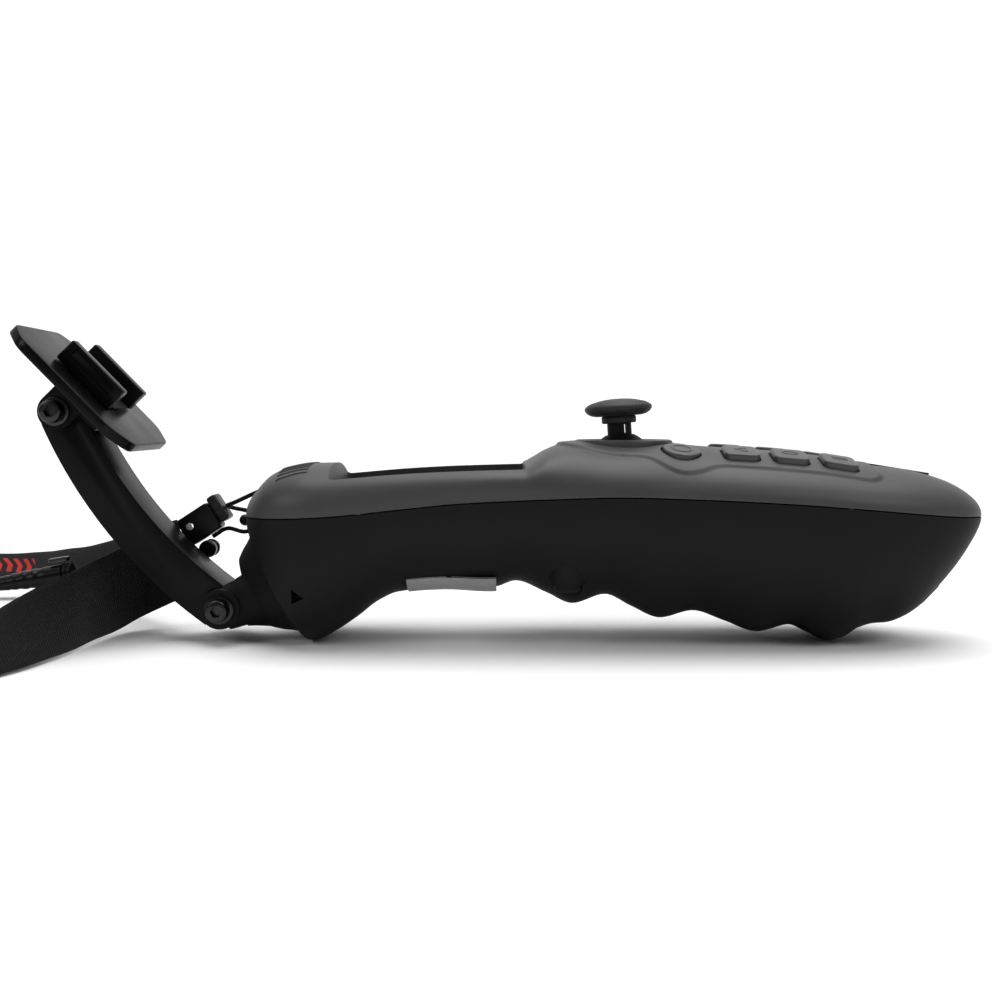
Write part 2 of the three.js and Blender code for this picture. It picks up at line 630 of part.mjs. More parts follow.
function rail(sign) {
  const base = PLATE.thickness + GAP;
  const thick = RAIL.outer - RAIL.inner;
  const middle = sign * (RAIL.inner + RAIL.outer) / 2;
  const bar = new THREE.BoxGeometry(RAIL.length, thick, RAIL.height);
  const pocket = new THREE.BoxGeometry(RAIL.length - 4.4, 2.4, RAIL.height - 3.2);
  const wall = onPlate(bar.translate(-RAIL.up_slope, middle, base + RAIL.height / 2));
  const mouth = [-RAIL.up_slope, sign * (RAIL.outer + 0.2), base + 0.7 + RAIL.height / 2];
  return wall.subtract(onPlate(pocket.translate(...mouth)));
}

function slotPad() {
  const pad = new THREE.BoxGeometry(RAIL.length, 2 * RAIL.inner - 0.8, 0.6);
  return onPlate(pad.translate(-RAIL.up_slope, 0, PLATE.thickness + GAP + 0.3));
}

// ---------------------------------------------------------------- pivot fasteners
const HEAD_Y = -(EAR_OUT + 2 * GAP + 0.5);

function pivotScrew(pivot) {
  const head = cylinderY(pivot.x, pivot.z, SCREW.head, HEAD_Y - SCREW.head_height, HEAD_Y, 24);
  const shank = cylinderY(pivot.x, pivot.z, SCREW.shank, HEAD_Y - 1, EAR_OUT + 3.2, 12);
  const socket = cylinderY(pivot.x, pivot.z, SCREW.hex, HEAD_Y - 4, HEAD_Y - 1.4, 6);
  return head.add(shank).subtract(socket);
}

function pivotNut(pivot) {
  const hex = cylinderY(pivot.x, pivot.z, 3.17, EAR_OUT + GAP, EAR_OUT + GAP + 2.4, 6);
  return hex.subtract(cylinderY(pivot.x, pivot.z, SCREW.hole, 8, 15, 16));
}

function pivotWasher(pivot) {
  const disc = cylinderY(pivot.x, pivot.z, 3.5, -(EAR_OUT + GAP + 0.5), -(EAR_OUT + GAP), 24);
  return disc.subtract(cylinderY(pivot.x, pivot.z, SCREW.hole, -12, -9, 16));
}

// ---------------------------------------------------------------- lanyard
// Edge pairs of the strap: [lower x, y, z, upper x, y, z].
const FRONT_STRAP = [
  [-85.2, 15.0, 7.2, -88.8, 14.8, 27.0], [-93.6, 10.4, 3.4, -94.2, 11.2, 23.4],
  [-97.6, 3.4, 1.2, -98.4, 4.8, 21.2], [-99.6, -9.4, 0.9, -101.2, -3.0, 19.6],
  [-100.2, -21.8, 0.8, -103.4, -12.4, 18.0], [-102.2, -33.4, 0.8, -107.0, -22.4, 16.2],
  [-104.8, -44.6, 0.8, -110.8, -32.0, 13.4], [-109.6, -55.2, 0.8, -115.0, -39.4, 10.2],
  [-118.4, -62.4, 0.8, -120.0, -43.6, 7.4], [-130.6, -63.4, 0.8, -128.6, -44.2, 6.0],
  [-142.0, -56.0, 0.8, -133.4, -39.0, 6.2], [-149.8, -43.0, 0.8, -137.4, -28.4, 7.6],
  [-152.0, -27.0, 0.8, -141.8, -16.0, 13.6], [-153.6, -13.0, 0.8, -150.4, -6.4, 19.4],
  [-157.4, 0.4, 0.6, -157.4, 0.6, 20.6],
];
const REAR_STRAP = [
  [-84.4, 18.6, 12.2, -86.6, 20.4, 28.0], [-91.6, 27.0, 8.8, -95.6, 32.6, 25.4],
  [-100.4, 37.0, 6.2, -106.0, 45.4, 22.0], [-110.6, 48.6, 3.8, -117.0, 59.2, 18.4],
  [-121.6, 61.0, 2.0, -128.0, 73.6, 15.4], [-133.0, 74.0, 0.8, -139.4, 88.4, 13.0],
  [-144.6, 87.0, 0.8, -151.2, 102.8, 10.6], [-156.4, 99.4, 0.8, -164.0, 115.6, 8.6],
  [-169.8, 109.8, 0.8, -178.4, 126.0, 7.2], [-185.4, 115.0, 0.8, -192.4, 132.6, 6.4],
  [-201.4, 112.8, 0.8, -206.0, 131.4, 5.8], [-214.6, 103.8, 0.8, -224.6, 120.4, 5.4],
  [-222.8, 89.6, 0.8, -239.2, 99.6, 5.4], [-226.0, 72.0, 0.8, -243.8, 75.0, 9.0],
  [-228.4, 54.0, 0.8, -240.6, 56.0, 16.2], [-233.2, 39.4, 0.8, -237.4, 39.6, 20.2],
];
const HANK = { x: -215.6, y: 20, length: 110, depth: 34, bottom: 0.6, top: 20.6 };
const BUCKLE = { x: -78.2, y: 14.6, z: 27.7, turn: 33 };
const ROLLER = { x: -76.4, z: 21.0, radius: 2.3 };
const BEAD = { x: -67.0, y: 14.8, z: 28.4, radius: 1.5 };
const CLASP = { x: -132.6, y: 68, z: 7.6, turn: 4, rise: 8.5 };
const LOOP_ROUTE = [
  [-60.2, 10.0, 36.8], [-62.4, 10.6, 36.2], [-64.6, 11.2, 35.3], [-66.8, 11.8, 34.3], [-69.0, 12.3, 33.3],
  [-70.8, 13.0, 32.6], [-71.6, 14.4, 32.2], [-70.9, 15.9, 31.7], [-69.2, 16.8, 31.2], [-67.2, 16.9, 30.8],
  [-65.4, 16.3, 30.1], [-64.2, 15.0, 28.9], [-64.1, 13.6, 27.4], [-65.3, 13.0, 25.9], [-67.1, 13.0, 25.5],
  [-69.0, 13.4, 25.9], [-70.8, 14.0, 26.3], [-72.5, 14.4, 26.0], [-74.1, 14.6, 25.0], [-75.5, 14.6, 24.1],
];
const LEAD_ROUTE = [
  [-83.4, 16.2, 23.6], [-86.4, 17.0, 22.6], [-89.8, 18.9, 21.4], [-93.4, 22.0, 20.0], [-97.0, 25.8, 18.6],
  [-100.6, 30.0, 17.2], [-104.2, 34.4, 15.8], [-107.8, 38.9, 14.5], [-111.4, 43.5, 13.3],
  [-115.0, 48.2, 12.2], [-118.6, 53.2, 11.2], [-122.0, 58.0, 10.2], [-125.2, 62.4, 9.2],
  [-127.8, 65.6, 8.6], [-130.7, 67.9, 8.1],
];

function strap(edges) {
  const half = WEBBING.thickness / 2;
  const lower = new THREE.CatmullRomCurve3(edges.map((e) => new THREE.Vector3(...e.slice(0, 3))));
  const upper = new THREE.CatmullRomCurve3(edges.map((e) => new THREE.Vector3(...e.slice(3))));
  const count = 2 * (edges.length - 1);
  const rings = [];
  for (let k = 0; k <= count; k += 1) {
    const [low, high] = [lower.getPoint(k / count), upper.getPoint(k / count)];
    const along = lower.getTangent(k / count).add(upper.getTangent(k / count));
    const face = along.cross(high.clone().sub(low)).setLength(half);
    rings.push([low.clone().add(face), high.clone().add(face), high.clone().sub(face), low.clone().sub(face)]);
  }
  return loft(rings);
}

function webbingHank() {
  const outline = roundedRectangle(HANK.length, HANK.depth, HANK.depth / 2 - 0.1);
  const options = { depth: HANK.top - HANK.bottom, bevelEnabled: false, curveSegments: 6 };
  const geometry = new THREE.ExtrudeGeometry(outline, options);
  const wrap = box(HANK.x, HANK.y, 10.6, 9, 60, 30);
  const waist = box(HANK.x, HANK.y, 10.6, 12, HANK.depth - 1.4, 18.6);
  const ends = toSolid(geometry.translate(HANK.x, HANK.y, HANK.bottom));
  return ends.subtract(wrap).add(waist);
}

function hankTie() {
  const ring = box(HANK.x, HANK.y, 10.6, 8, HANK.depth + 1.4, 21);
  return ring.subtract(box(HANK.x, HANK.y, 10.6, 10, HANK.depth - 0.8, 19.2));
}

function onBuckle(sizeX, sizeY, sizeZ, along, up) {
  const block = new THREE.BoxGeometry(sizeX, sizeY, sizeZ).translate(along, 0, up);
  return placed(block, BUCKLE.x, BUCKLE.y, BUCKLE.z, -BUCKLE.turn);
}

function buckleBody() {
  return onBuckle(9.6, 6, 7.6, -0.4, 0).subtract(onBuckle(2, 9, 1.8, -3.6, 1.2));
}

function buckleCap() {
  return onBuckle(2.6, 6.4, 7.4, 6.1, 0.8).subtract(onBuckle(0.9, 9, 0.9, 6.1, 2.2));
}

function buckleRoller() {
  return cylinderY(ROLLER.x, ROLLER.z, ROLLER.radius, 11.8, 17.4, 16);
}

function onClasp(geometry) {
  geometry.rotateY(-radians(CLASP.rise)).rotateZ(radians(CLASP.turn));
  geometry.translate(CLASP.x, CLASP.y, CLASP.z);
  return toSolid(geometry);
}

function claspGrip() {
  const sections = [[-27, 1.4, 2.2], [-20, 2.2, 3.0], [-10, 3.0, 3.6], [-1.7, 3.1, 3.3]];
  const rings = sections.map(([x, high, wide]) => {
    const ring = [];
    for (let k = 0; k < 12; k += 1) {
      const angle = Math.PI * k / 6;
      ring.push(new THREE.Vector3(x, wide * Math.cos(angle), high * Math.sin(angle)));
    }
    return ring;
  });
  return onClasp(toGeometry(loft(rings)));
}

function claspCollar() {
  const collar = new THREE.CylinderGeometry(3.4, 3.4, 2.8, 20).rotateZ(Math.PI / 2);
  return onClasp(collar);
}

function claspTab() {
  return onClasp(new THREE.BoxGeometry(6, 3.4, 1.4).translate(-2.2, 0, 4.6));
}

function lanyardBead() {
  return placed(new THREE.SphereGeometry(BEAD.radius, 12, 8), BEAD.x, BEAD.y, BEAD.z);
}

// ---------------------------------------------------------------- assembly
const object = new THREE.Group();
object.name = 'motion_controller';
object.position.x = FRAME_SHIFT_X;

function finish(color, roughness, metalness = 0) {
  return () => new THREE.MeshStandardMaterial({ color, roughness, metalness });
}

const LOOK = {
  upper: finish(0x3d3d3e, 0.62),
  lower: finish(0x252526, 0.7),
  rubber: finish(0x2b2b2c, 0.8),
  glass: finish(0x0b0c0e, 0.12),
  metal: finish(0x232325, 0.5, 0.4),
  steel: finish(0x8c8d90, 0.35, 0.9),
  blackSteel: finish(0x1c1c1e, 0.4, 0.7),
  board: finish(0x1f4a33, 0.6),
  label: finish(0x9a9b9c, 0.55),
  webbing: finish(0x222224, 0.9),
  cell: finish(0x3b6ea5, 0.4),
};

function add(name, solid, look) {
  const mesh = new THREE.Mesh(toGeometry(solid), look());
  mesh.name = name;
  object.add(mesh);
}

add('upper_shell', upperShell(), LOOK.upper);
add('lower_shell', lowerShell(), LOOK.lower);
add('display_window', displayWindow(), LOOK.glass);
add('display_module', displayModule(), LOOK.board);
add('status_lens', statusLens(), LOOK.glass);
add('rating_label', ratingLabel(), LOOK.label);
add('joystick_cap', joystickCap(), LOOK.rubber);
add('joystick_collar', joystickCollar(), LOOK.lower);
add('joystick_stem', joystickStem(), LOOK.lower);
add('joystick_dome', joystickDome(), LOOK.lower);
add('gimbal_yoke', gimbalYoke(), LOOK.metal);
add('joystick_housing', joystickHousing(), LOOK.metal);
for (const { name, x, y } of keyPlaces()) add(name, rectangularKey(x, y), LOOK.rubber);
for (const [side, sign] of [['near', -1], ['far', 1]]) {
  add(`round_button_${side}`, roundKey(sign), LOOK.rubber);
  add(`screw_plug_${side}`, screwPlug(sign), LOOK.rubber);
  add(`shell_screw_${side}`, shellScrew(sign), LOOK.steel);
  add(`rail_${side}`, rail(sign), LOOK.metal);
}
add('keypad_mat', keypadMat(), LOOK.rubber);
add('key_board', keyBoard(), LOOK.board);
add('main_board', mainBoard(), LOOK.board);
add('battery_cell', batteryCell(), LOOK.cell);
add('battery_cradle', batteryCradle(), LOOK.lower);
add('charge_socket', chargeSocket(), LOOK.steel);
add('port_cover', portCover(), LOOK.rubber);
add('radio_shield', radioShield(), LOOK.steel);
add('antenna_strip', antennaStrip(), LOOK.board);
add('lanyard_pin', lanyardPin(), LOOK.steel);
add('arm_base', armBase(), LOOK.lower);
add('base_bolt', baseBolt(), LOOK.steel);
add('tilt_arm', tiltArm(), LOOK.metal);
add('accessory_plate', accessoryPlate(), LOOK.metal);
add('slot_pad', slotPad(), LOOK.rubber);
for (const [level, pivot] of [['lower', LOWER_PIVOT], ['upper', UPPER_PIVOT]]) {
  add(`${level}_pivot_screw`, pivotScrew(pivot), LOOK.blackSteel);
  add(`${level}_pivot_nut`, pivotNut(pivot), LOOK.blackSteel);
  add(`${level}_pivot_washer`, pivotWasher(pivot), LOOK.blackSteel);
}
add('webbing_front', strap(FRONT_STRAP), LOOK.webbing);
add('webbing_rear', strap(REAR_STRAP), LOOK.webbing);
add('webbing_hank', webbingHank(), LOOK.webbing);
add('hank_tie', hankTie(), LOOK.rubber);
add('buckle_body', buckleBody(), LOOK.lower);
add('buckle_cap', buckleCap(), LOOK.upper);
add('buckle_roller', buckleRoller(), LOOK.steel);
add('clasp_grip', claspGrip(), LOOK.lower);
add('clasp_collar', claspCollar(), LOOK.lower);
add('clasp_tab', claspTab(), LOOK.steel);
add('clasp_lead', cordTube(LEAD_ROUTE, CORD_RADIUS, 8, 26), LOOK.webbing);
add('lanyard_loop', cordTube(LOOP_ROUTE, CORD_RADIUS, 8, 32), LOOK.webbing);
add('lanyard_bead', lanyardBead(), LOOK.lower);

export default object;
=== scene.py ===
"""Looks of a one-hand motion controller with a tilting accessory plate and a neck lanyard.

Lengths below are in millimetres in the body's own frame; metres() moves them into the row frame.
"""
import math

import bmesh
import bpy
from mathutils import Matrix, Vector


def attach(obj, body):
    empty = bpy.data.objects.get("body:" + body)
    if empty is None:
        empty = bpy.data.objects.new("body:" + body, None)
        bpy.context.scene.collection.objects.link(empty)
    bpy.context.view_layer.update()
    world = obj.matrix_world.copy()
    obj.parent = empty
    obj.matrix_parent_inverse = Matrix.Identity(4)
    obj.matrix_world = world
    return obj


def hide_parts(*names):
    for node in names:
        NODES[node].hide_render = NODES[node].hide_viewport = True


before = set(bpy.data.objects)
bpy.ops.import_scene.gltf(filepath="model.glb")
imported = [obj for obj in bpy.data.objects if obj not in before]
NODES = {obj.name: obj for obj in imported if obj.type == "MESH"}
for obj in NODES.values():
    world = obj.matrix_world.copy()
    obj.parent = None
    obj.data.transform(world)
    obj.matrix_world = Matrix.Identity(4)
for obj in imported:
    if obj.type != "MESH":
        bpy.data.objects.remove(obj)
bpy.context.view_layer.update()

# ---------------------------------------------------------------- driving dimensions
SHIFT_X = -1.55
GAP = 0.3
WALL = 2.2
TAIL_X = -62.7
NOSE_X = 119.3
TAIL_ROUND = 20
NOSE_ROUND = 45
TAIL_FACE = {"x": -54.2, "z": 14.8, "tilt": math.radians(62.8)}
WINDOW = {"x": -17, "z": 38.3, "length": 44, "width": 38, "tilt": math.radians(2.8)}
STICK = Vector((30.35, 0, 44))
STICK_LEAN = math.radians(-3.7)
DOME_RADIUS = 7.8
PLATFORM = {"x": 30.75, "radius": 12.2, "top": 49.8}
KEY = {"first": 57.7, "pitch": 11.75, "row": 11.8, "size": 8.5, "rise": 1.8, "depth": 4.2}
ROUND_KEY = {"x": 43.2, "y": 13.2, "radius": 4.6, "rise": 1.4}
LENS = {"x": 99.4, "length": 16, "width": 1.4}
PLUG = {"x": 16.1, "y": 16.3, "radius": 3.2, "bottom": 13.9, "top": 17.2}
PORT = {"x": 106.2, "length": 7.4, "width": 12.4, "depth": 1.3}
ARM_HALF = 6.75
EAR_IN = 7.05
EAR_OUT = 10
LOWER_PIVOT = {"x": -68.4, "z": 8.5, "ear": 4.9}
UPPER_PIVOT = {"x": -107.3, "z": 56.7, "ear": 4.4}
ARM_ARC = {"x": -3.6, "z": 99.4, "inner": 107.1, "outer": 117.6, "end": 5.2}
PLATE = {"size": 40, "thickness": 2.5, "corner": 5.6, "tilt": math.radians(46), "lift": 6.6}
RAIL = {"length": 17.4, "height": 5.9, "inner": 6.4, "outer": 9.8, "up_slope": 0.5}
FLANGE_SQUEEZE = 0.86
SCREW = {"shank": 1.5, "hole": 1.85, "head": 2.75, "head_height": 3, "hex": 1.44}
ISLAND = {"rise": 0.6, "x": 66.6, "half_length": 24.4, "half_width": 18.6, "corner": 5,
          "stick_radius": 16.6, "button_y": 14.4, "button_radius": 7.6}
CAMERA = {"back": 305, "height": 54.652, "pitch_down": 3.7517, "lens": 43.92, "sensor": 36}
FRONT_LIGHT = 0.12
BACK_LIGHT = 1.0


def metres(point):
    x, y, z = point
    return Vector(((x + SHIFT_X) / 1000, y / 1000, z / 1000))


def into_scene(name, data):
    """A new object that holds the data, linked to the scene."""
    thing = bpy.data.objects.new(name, data)
    bpy.context.scene.collection.objects.link(thing)
    return thing


# ---------------------------------------------------------------- camera, floor and light
def make_camera():
    data = bpy.data.cameras.new("camera")
    data.lens = CAMERA["lens"]
    data.sensor_width = CAMERA["sensor"]
    camera = into_scene("camera", data)
    camera.location = metres((0, -CAMERA["back"], CAMERA["height"]))
    camera.rotation_euler = (math.radians(90 - CAMERA["pitch_down"]), 0, 0)
    bpy.context.scene.camera = camera


def area_light(name, place, target, size, power):
    data = bpy.data.lights.new(name, "AREA")
    data.shape = "RECTANGLE"
    data.size = size[0]
    data.size_y = size[1]
    data.energy = power
    light = into_scene(name, data)
    light.location = place
    aim = Vector(target) - Vector(place)
    light.rotation_euler = aim.to_track_quat("-Z", "Y").to_euler()


def overhead_light(strength, spread_angle, towards):
    """An even, very soft light from above, the same over the whole floor."""
    data = bpy.data.lights.new("overhead", "SUN")
    data.energy = strength
    data.angle = math.radians(spread_angle)
    light = into_scene("overhead", data)
    light.rotation_euler = Vector(towards).to_track_quat("Z", "Y").to_euler()


def studio_world():
    """White all round to look at; as light it is bright behind the object and dim in front."""
    world = bpy.data.worlds.new("studio")
    world.use_nodes = True
    tree = world.node_tree
    direction = tree.nodes.new("ShaderNodeTexCoord")
    split = tree.nodes.new("ShaderNodeSeparateXYZ")
    tree.links.new(direction.outputs["Generated"], split.inputs["Vector"])
    falloff = tree.nodes.new("ShaderNodeMapRange")
    falloff.inputs["From Min"].default_value = -0.1
    falloff.inputs["From Max"].default_value = 0.8
    falloff.inputs["To Min"].default_value = FRONT_LIGHT
    falloff.inputs["To Max"].default_value = BACK_LIGHT
    tree.links.new(split.outputs["Y"], falloff.inputs["Value"])
    fill = tree.nodes["Background"]
    fill.inputs["Color"].default_value = (1, 1, 1, 1)
    tree.links.new(falloff.outputs["Result"], fill.inputs["Strength"])
    backdrop = tree.nodes.new("ShaderNodeBackground")
    backdrop.inputs["Color"].default_value = (1, 1, 1, 1)
    backdrop.inputs["Strength"].default_value = 1.1
    seen = tree.nodes.new("ShaderNodeLightPath")
    mix = tree.nodes.new("ShaderNodeMixShader")
    tree.links.new(seen.outputs["Is Camera Ray"], mix.inputs["Fac"])
    tree.links.new(fill.outputs["Background"], mix.inputs[1])
    tree.links.new(backdrop.outputs["Background"], mix.inputs[2])
    tree.links.new(mix.outputs["Shader"], tree.nodes["World Output"].inputs["Surface"])
    return world


def make_stage():
    mesh = bpy.data.meshes.new("floor")
    half = 3.0
    corners = [(-half, -half, 0), (half, -half, 0), (half, half, 0), (-half, half, 0)]
    mesh.from_pydata(corners, [], [(0, 1, 2, 3)])
    floor = into_scene("floor", mesh)
    paint = bpy.data.materials.new("floor_paint")
    paint.use_nodes = True
    shader = paint.node_tree.nodes["Principled BSDF"]
    shader.inputs["Base Color"].default_value = (0.93, 0.93, 0.93, 1)
    shader.inputs["Roughness"].default_value = 0.85
    shader.inputs["Specular IOR Level"].default_value = 0.2
    mesh.materials.append(paint)
    scene = bpy.context.scene
    scene.world = studio_world()
    scene.view_settings.view_transform = "Standard"
    scene.view_settings.gamma = 0.88
    overhead_light(2.35, 55, (0.1, 0.2, 1))
    area_light("softbox_left", (-0.7, -0.5, 0.6), (0, 0, 0.03), (0.5, 0.4), 2.2)
    area_light("softbox_right", (0.6, -0.5, 0.7), (0.02, 0, 0.03), (0.5, 0.4), 2.6)


# ---------------------------------------------------------------- mesh kit
def new_piece(name, vertices, faces, in_metres=False):
    mesh = bpy.data.meshes.new(name)
    points = vertices if in_metres else [metres(v) for v in vertices]
    mesh.from_pydata(points, [], faces)
    mesh.validate()
    piece = into_scene(name, mesh)
    outward(mesh)
    return piece


def outward(mesh):
    work = bmesh.new()
    work.from_mesh(mesh)
    bmesh.ops.remove_doubles(work, verts=work.verts, dist=1e-7)
    bmesh.ops.recalc_face_normals(work, faces=work.faces)
    if work.calc_volume(signed=True) < 0:
        bmesh.ops.reverse_faces(work, faces=work.faces)
    work.to_mesh(mesh)
    work.free()


def smooth(piece, angle=35):
    for face in piece.data.polygons:
        face.use_smooth = True
    piece.data.set_sharp_from_angle(angle=math.radians(angle))
    return piece


def bake(piece):
    """Applies the piece's modifiers to its mesh."""
    bpy.context.view_layer.update()
    graph = bpy.context.evaluated_depsgraph_get()
    mesh = bpy.data.meshes.new_from_object(piece.evaluated_get(graph))
    piece.modifiers.clear()
    piece.data = mesh
    return piece


def combine(piece, others, operation):
    for other in others:
        step = piece.modifiers.new("combine", "BOOLEAN")
        step.operation = operation
        step.solver = "MANIFOLD"
        step.object = other
    bake(piece)
    for other in others:
        bpy.data.objects.remove(other)
    return piece


def bevelled(piece, width, segments=2, angle=40):
    step = piece.modifiers.new("bevel", "BEVEL")
    step.width = width / 1000
    step.segments = segments
    step.limit_method = "ANGLE"
    step.angle_limit = math.radians(angle)
    step.use_clamp_overlap = True
    return bake(piece)


def ring_faces(rings, count, closed=True):
    faces = []
    for i in range(rings - 1):
        for k in range(count if closed else count - 1):
            a = i * count + k
            b = i * count + (k + 1) % count
            faces.append((a, b, b + count, a + count))
    return faces


def loft(name, rings):
    count = len(rings[0])
    vertices = [p for ring in rings for p in ring]
    faces = ring_faces(len(rings), count)
    last = (len(rings) - 1) * count
    faces.append(tuple(range(count - 1, -1, -1)))
    faces.append(tuple(range(last, last + count)))
    return new_piece(name, vertices, faces)


def prism_y(name, outline, y0, y1):
    rings = [[(x, y, z) for x, z in outline] for y in (y0, y1)]
    return loft(name, rings)


def box(name, centre, size, turn_y=0):
    turn = Matrix.Rotation(turn_y, 3, "Y")
    corners = []
    for sx in (-0.5, 0.5):
        ring = []
        for sy, sz in ((-0.5, -0.5), (0.5, -0.5), (0.5, 0.5), (-0.5, 0.5)):
            offset = turn @ Vector((sx * size[0], sy * size[1], sz * size[2]))
            ring.append(tuple(Vector(centre) + offset))
        corners.append(ring)
    return loft(name, corners)


def circle(radius, sides, start=0.0):
    angles = [start + 2 * math.pi * k / sides for k in range(sides)]
    return [(radius * math.cos(a), radius * math.sin(a)) for a in angles]


def cylinder_y(name, x, z, radius, y0, y1, sides=48):
    return prism_y(name, [(x + a, z + b) for a, b in circle(radius, sides)], y0, y1)


def cylinder_z(name, x, y, radius, z0, z1, sides=48):
    rings = [[(x + a, y + b, z) for a, b in circle(radius, sides)] for z in (z0, z1)]
    return loft(name, rings)


def lathe(name, profile, sides, place):
    """Turns [radius, height] points about the Z axis of the matrix place; ends on the axis close."""
    vertices = []
    faces = []
    for radius, height in profile:
        for a, b in circle(max(radius, 1e-5), sides):
            vertices.append(tuple(place @ Vector((a, b, height))))
    faces += ring_faces(len(profile), sides)
    last = (len(profile) - 1) * sides
    if profile[0] == profile[-1]:
        return new_piece(name, vertices, faces)
    faces.append(tuple(range(sides - 1, -1, -1)))
    faces.append(tuple(range(last, last + sides)))
    return new_piece(name, vertices, faces)


def ball_profile(radius, step):
    """Half a circle from pole to pole, one point every step degrees."""
    return [(radius * math.sin(math.radians(a)), radius * math.cos(math.radians(a)))
            for a in range(0, 181, step)]


def level_ring(place, outline, height):
    """The flat outline at one height of the matrix place."""
    return [tuple(place @ Vector((x, y, height))) for x, y in outline]


def arc_points(cx, cy, radius, start, end, count):
    """Points on an arc; the angles are in degrees."""
    points = []
    for k in range(count + 1):
        angle = math.radians(start + (end - start) * k / count)
        points.append((cx + radius * math.cos(angle), cy + radius * math.sin(angle)))
    return points


def rounded_outline(width, height, radius, steps=6):
    w = width / 2 - radius
    h = height / 2 - radius
    points = []
    for cx, cy, start in ((w, -h, -90), (w, h, 0), (-w, h, 90), (-w, -h, 180)):
        points += arc_points(cx, cy, radius, start, start + 90, steps)
    return points


def curve_points(points, per_span):
    """Catmull-Rom through the points, per_span steps between neighbours."""
    points = [Vector(p) for p in points]
    padded = [2 * points[0] - points[1]] + points + [2 * points[-1] - points[-2]]
    out = []
    for i in range(1, len(padded) - 2):
        p0, p1, p2, p3 = padded[i - 1:i + 3]
        for k in range(per_span):
            t = k / per_span
            out.append(0.5 * ((2 * p1) + (p2 - p0) * t + (2 * p0 - 5 * p1 + 4 * p2 - p3) * t * t
                              + (3 * p1 - p0 - 3 * p2 + p3) * t ** 3))
    out.append(points[-1])
    return out


def path_length(points):
    return sum((b - a).length for a, b in zip(points, points[1:]))


# ---------------------------------------------------------------- body surface, as in the CAD
def smooth_curve(points):
    """A monotone cubic through the points, as a function of x."""
    steps = [b[0] - a[0] for a, b in zip(points, points[1:])]
    slopes = [(b[1] - a[1]) / h for a, b, h in zip(points, points[1:], steps)]
    tangents = [slopes[0]]
    for before, after in zip(slopes, slopes[1:]):
        tangents.append(0 if before * after <= 0 else 2 / (1 / before + 1 / after))
    tangents.append(slopes[-1])

    def value(x):
        i = 0
        while i < len(steps) - 1 and x > points[i + 1][0]:
            i += 1
        t = min(1, max(0, (x - points[i][0]) / steps[i]))
        return (points[i][1] * (1 + 2 * t) * (1 - t) ** 2
                + tangents[i] * steps[i] * t * (1 - t) ** 2
                + points[i + 1][1] * t * t * (3 - 2 * t)
                + tangents[i + 1] * steps[i] * t * t * (t - 1))
    return value


crown_at = smooth_curve([
    (-62.7, 31.5), (-61.9, 34.7), (-59.6, 37.9), (-56.3, 41.2), (-52.5, 42.9), (-46.3, 43.9),
    (-38, 44.0), (-10, 43.9), (5.5, 44.0), (8.5, 45.4), (11.2, 47.1), (15.5, 48.7), (22, 49.1),
    (38, 49.0), (43, 48.3), (50, 47.6), (60, 47.0), (75, 45.8), (87.5, 44.0), (98, 42.8), (104, 41.7),
    (110, 39.9), (113, 38.5), (116, 36.6), (118.2, 34.6), (119.3, 32.6)])
seam_at = smooth_curve([
    (-62.7, 31.1), (-46.5, 31.7), (-39.6, 32.1), (-23.3, 33.8), (-9.3, 35.2), (14, 36.3),
    (28, 36.7), (46.5, 36.2), (65, 35.3), (84, 33.9), (97, 32.7), (109, 31.6), (119.3, 31.0)])
keel_at = smooth_curve([
    (-62.7, 0.6), (-47, 0), (-44.2, 0.5), (-41, 2.1), (-35.3, 5.9), (-30.2, 9.8),
    (-25.2, 12.0), (-17.6, 12.8), (-1, 13.3), (3.8, 14.8), (11.3, 11.9), (17.9, 9.1), (25.9, 11.4),
    (32.7, 8.3), (39.6, 5.5), (47.6, 7.3), (55.8, 4.7), (63.6, 2.0), (71.4, 3.9), (76.5, 1.8),
    (81, 0), (84, 0.7), (87.5, 2.9), (91.5, 4.1), (95.5, 4.4), (99, 5.6), (102.5, 7.8),
    (105.4, 10.7), (108.9, 14.5), (111.9, 18.2), (115, 22.8), (117.4, 26.8), (119.3, 30.8)])
width_curve = smooth_curve([
    (-62.7, 22.4), (-42, 22.8), (-20, 23.3), (0, 23.7), (25, 24.8), (45, 25), (62, 24.9),
    (76, 24.5), (119.3, 24.3)])
shoulder_at = smooth_curve([(-62.7, 2.2), (-40, 2.7), (5, 4), (16, 2.4), (30, 2), (119.3, 2)])
belly_at = smooth_curve([(-62.7, 2.3), (-44, 2.6), (-20, 2.3), (60, 2.3), (80, 2.6), (119.3, 2.2)])
cavity_floor_at = smooth_curve([
    (-62.7, 3), (-44, 4.5), (-34, 10), (-20, 15.4), (5, 17.3), (26, 14.4), (48, 10.4), (70, 6.8),
    (94, 6.8), (102, 10), (111, 20), (119.3, 30)])


def rounding(distance, exponent):
    u = min(1, max(0, distance))
    return (1 - u ** exponent) ** (1 / exponent)


def half_width_at(x):
    tail = rounding((TAIL_X + TAIL_ROUND - x) / TAIL_ROUND, 2.4)
    nose = rounding((x - NOSE_X + NOSE_ROUND) / NOSE_ROUND, 2.2)
    return width_curve(x) * tail * nose


def top_at(x, y):
    side = min(1, abs(y) / half_width_at(x))
    return seam_at(x) + (crown_at(x) - seam_at(x)) * rounding(side, shoulder_at(x))


def half_section(x, middle, half, height, exponent, count):
    """Half a superellipse across the body at x, from one side of the seam to the other."""
    points = []
    for k in range(count + 1):
        angle = math.pi * k / count
        across = math.copysign(abs(math.cos(angle)) ** (2 / exponent), math.cos(angle))
        up = math.sin(angle) ** (2 / exponent) if 0 < k < count else 0
        points.append((x, half * across, middle + height * up))
    return points


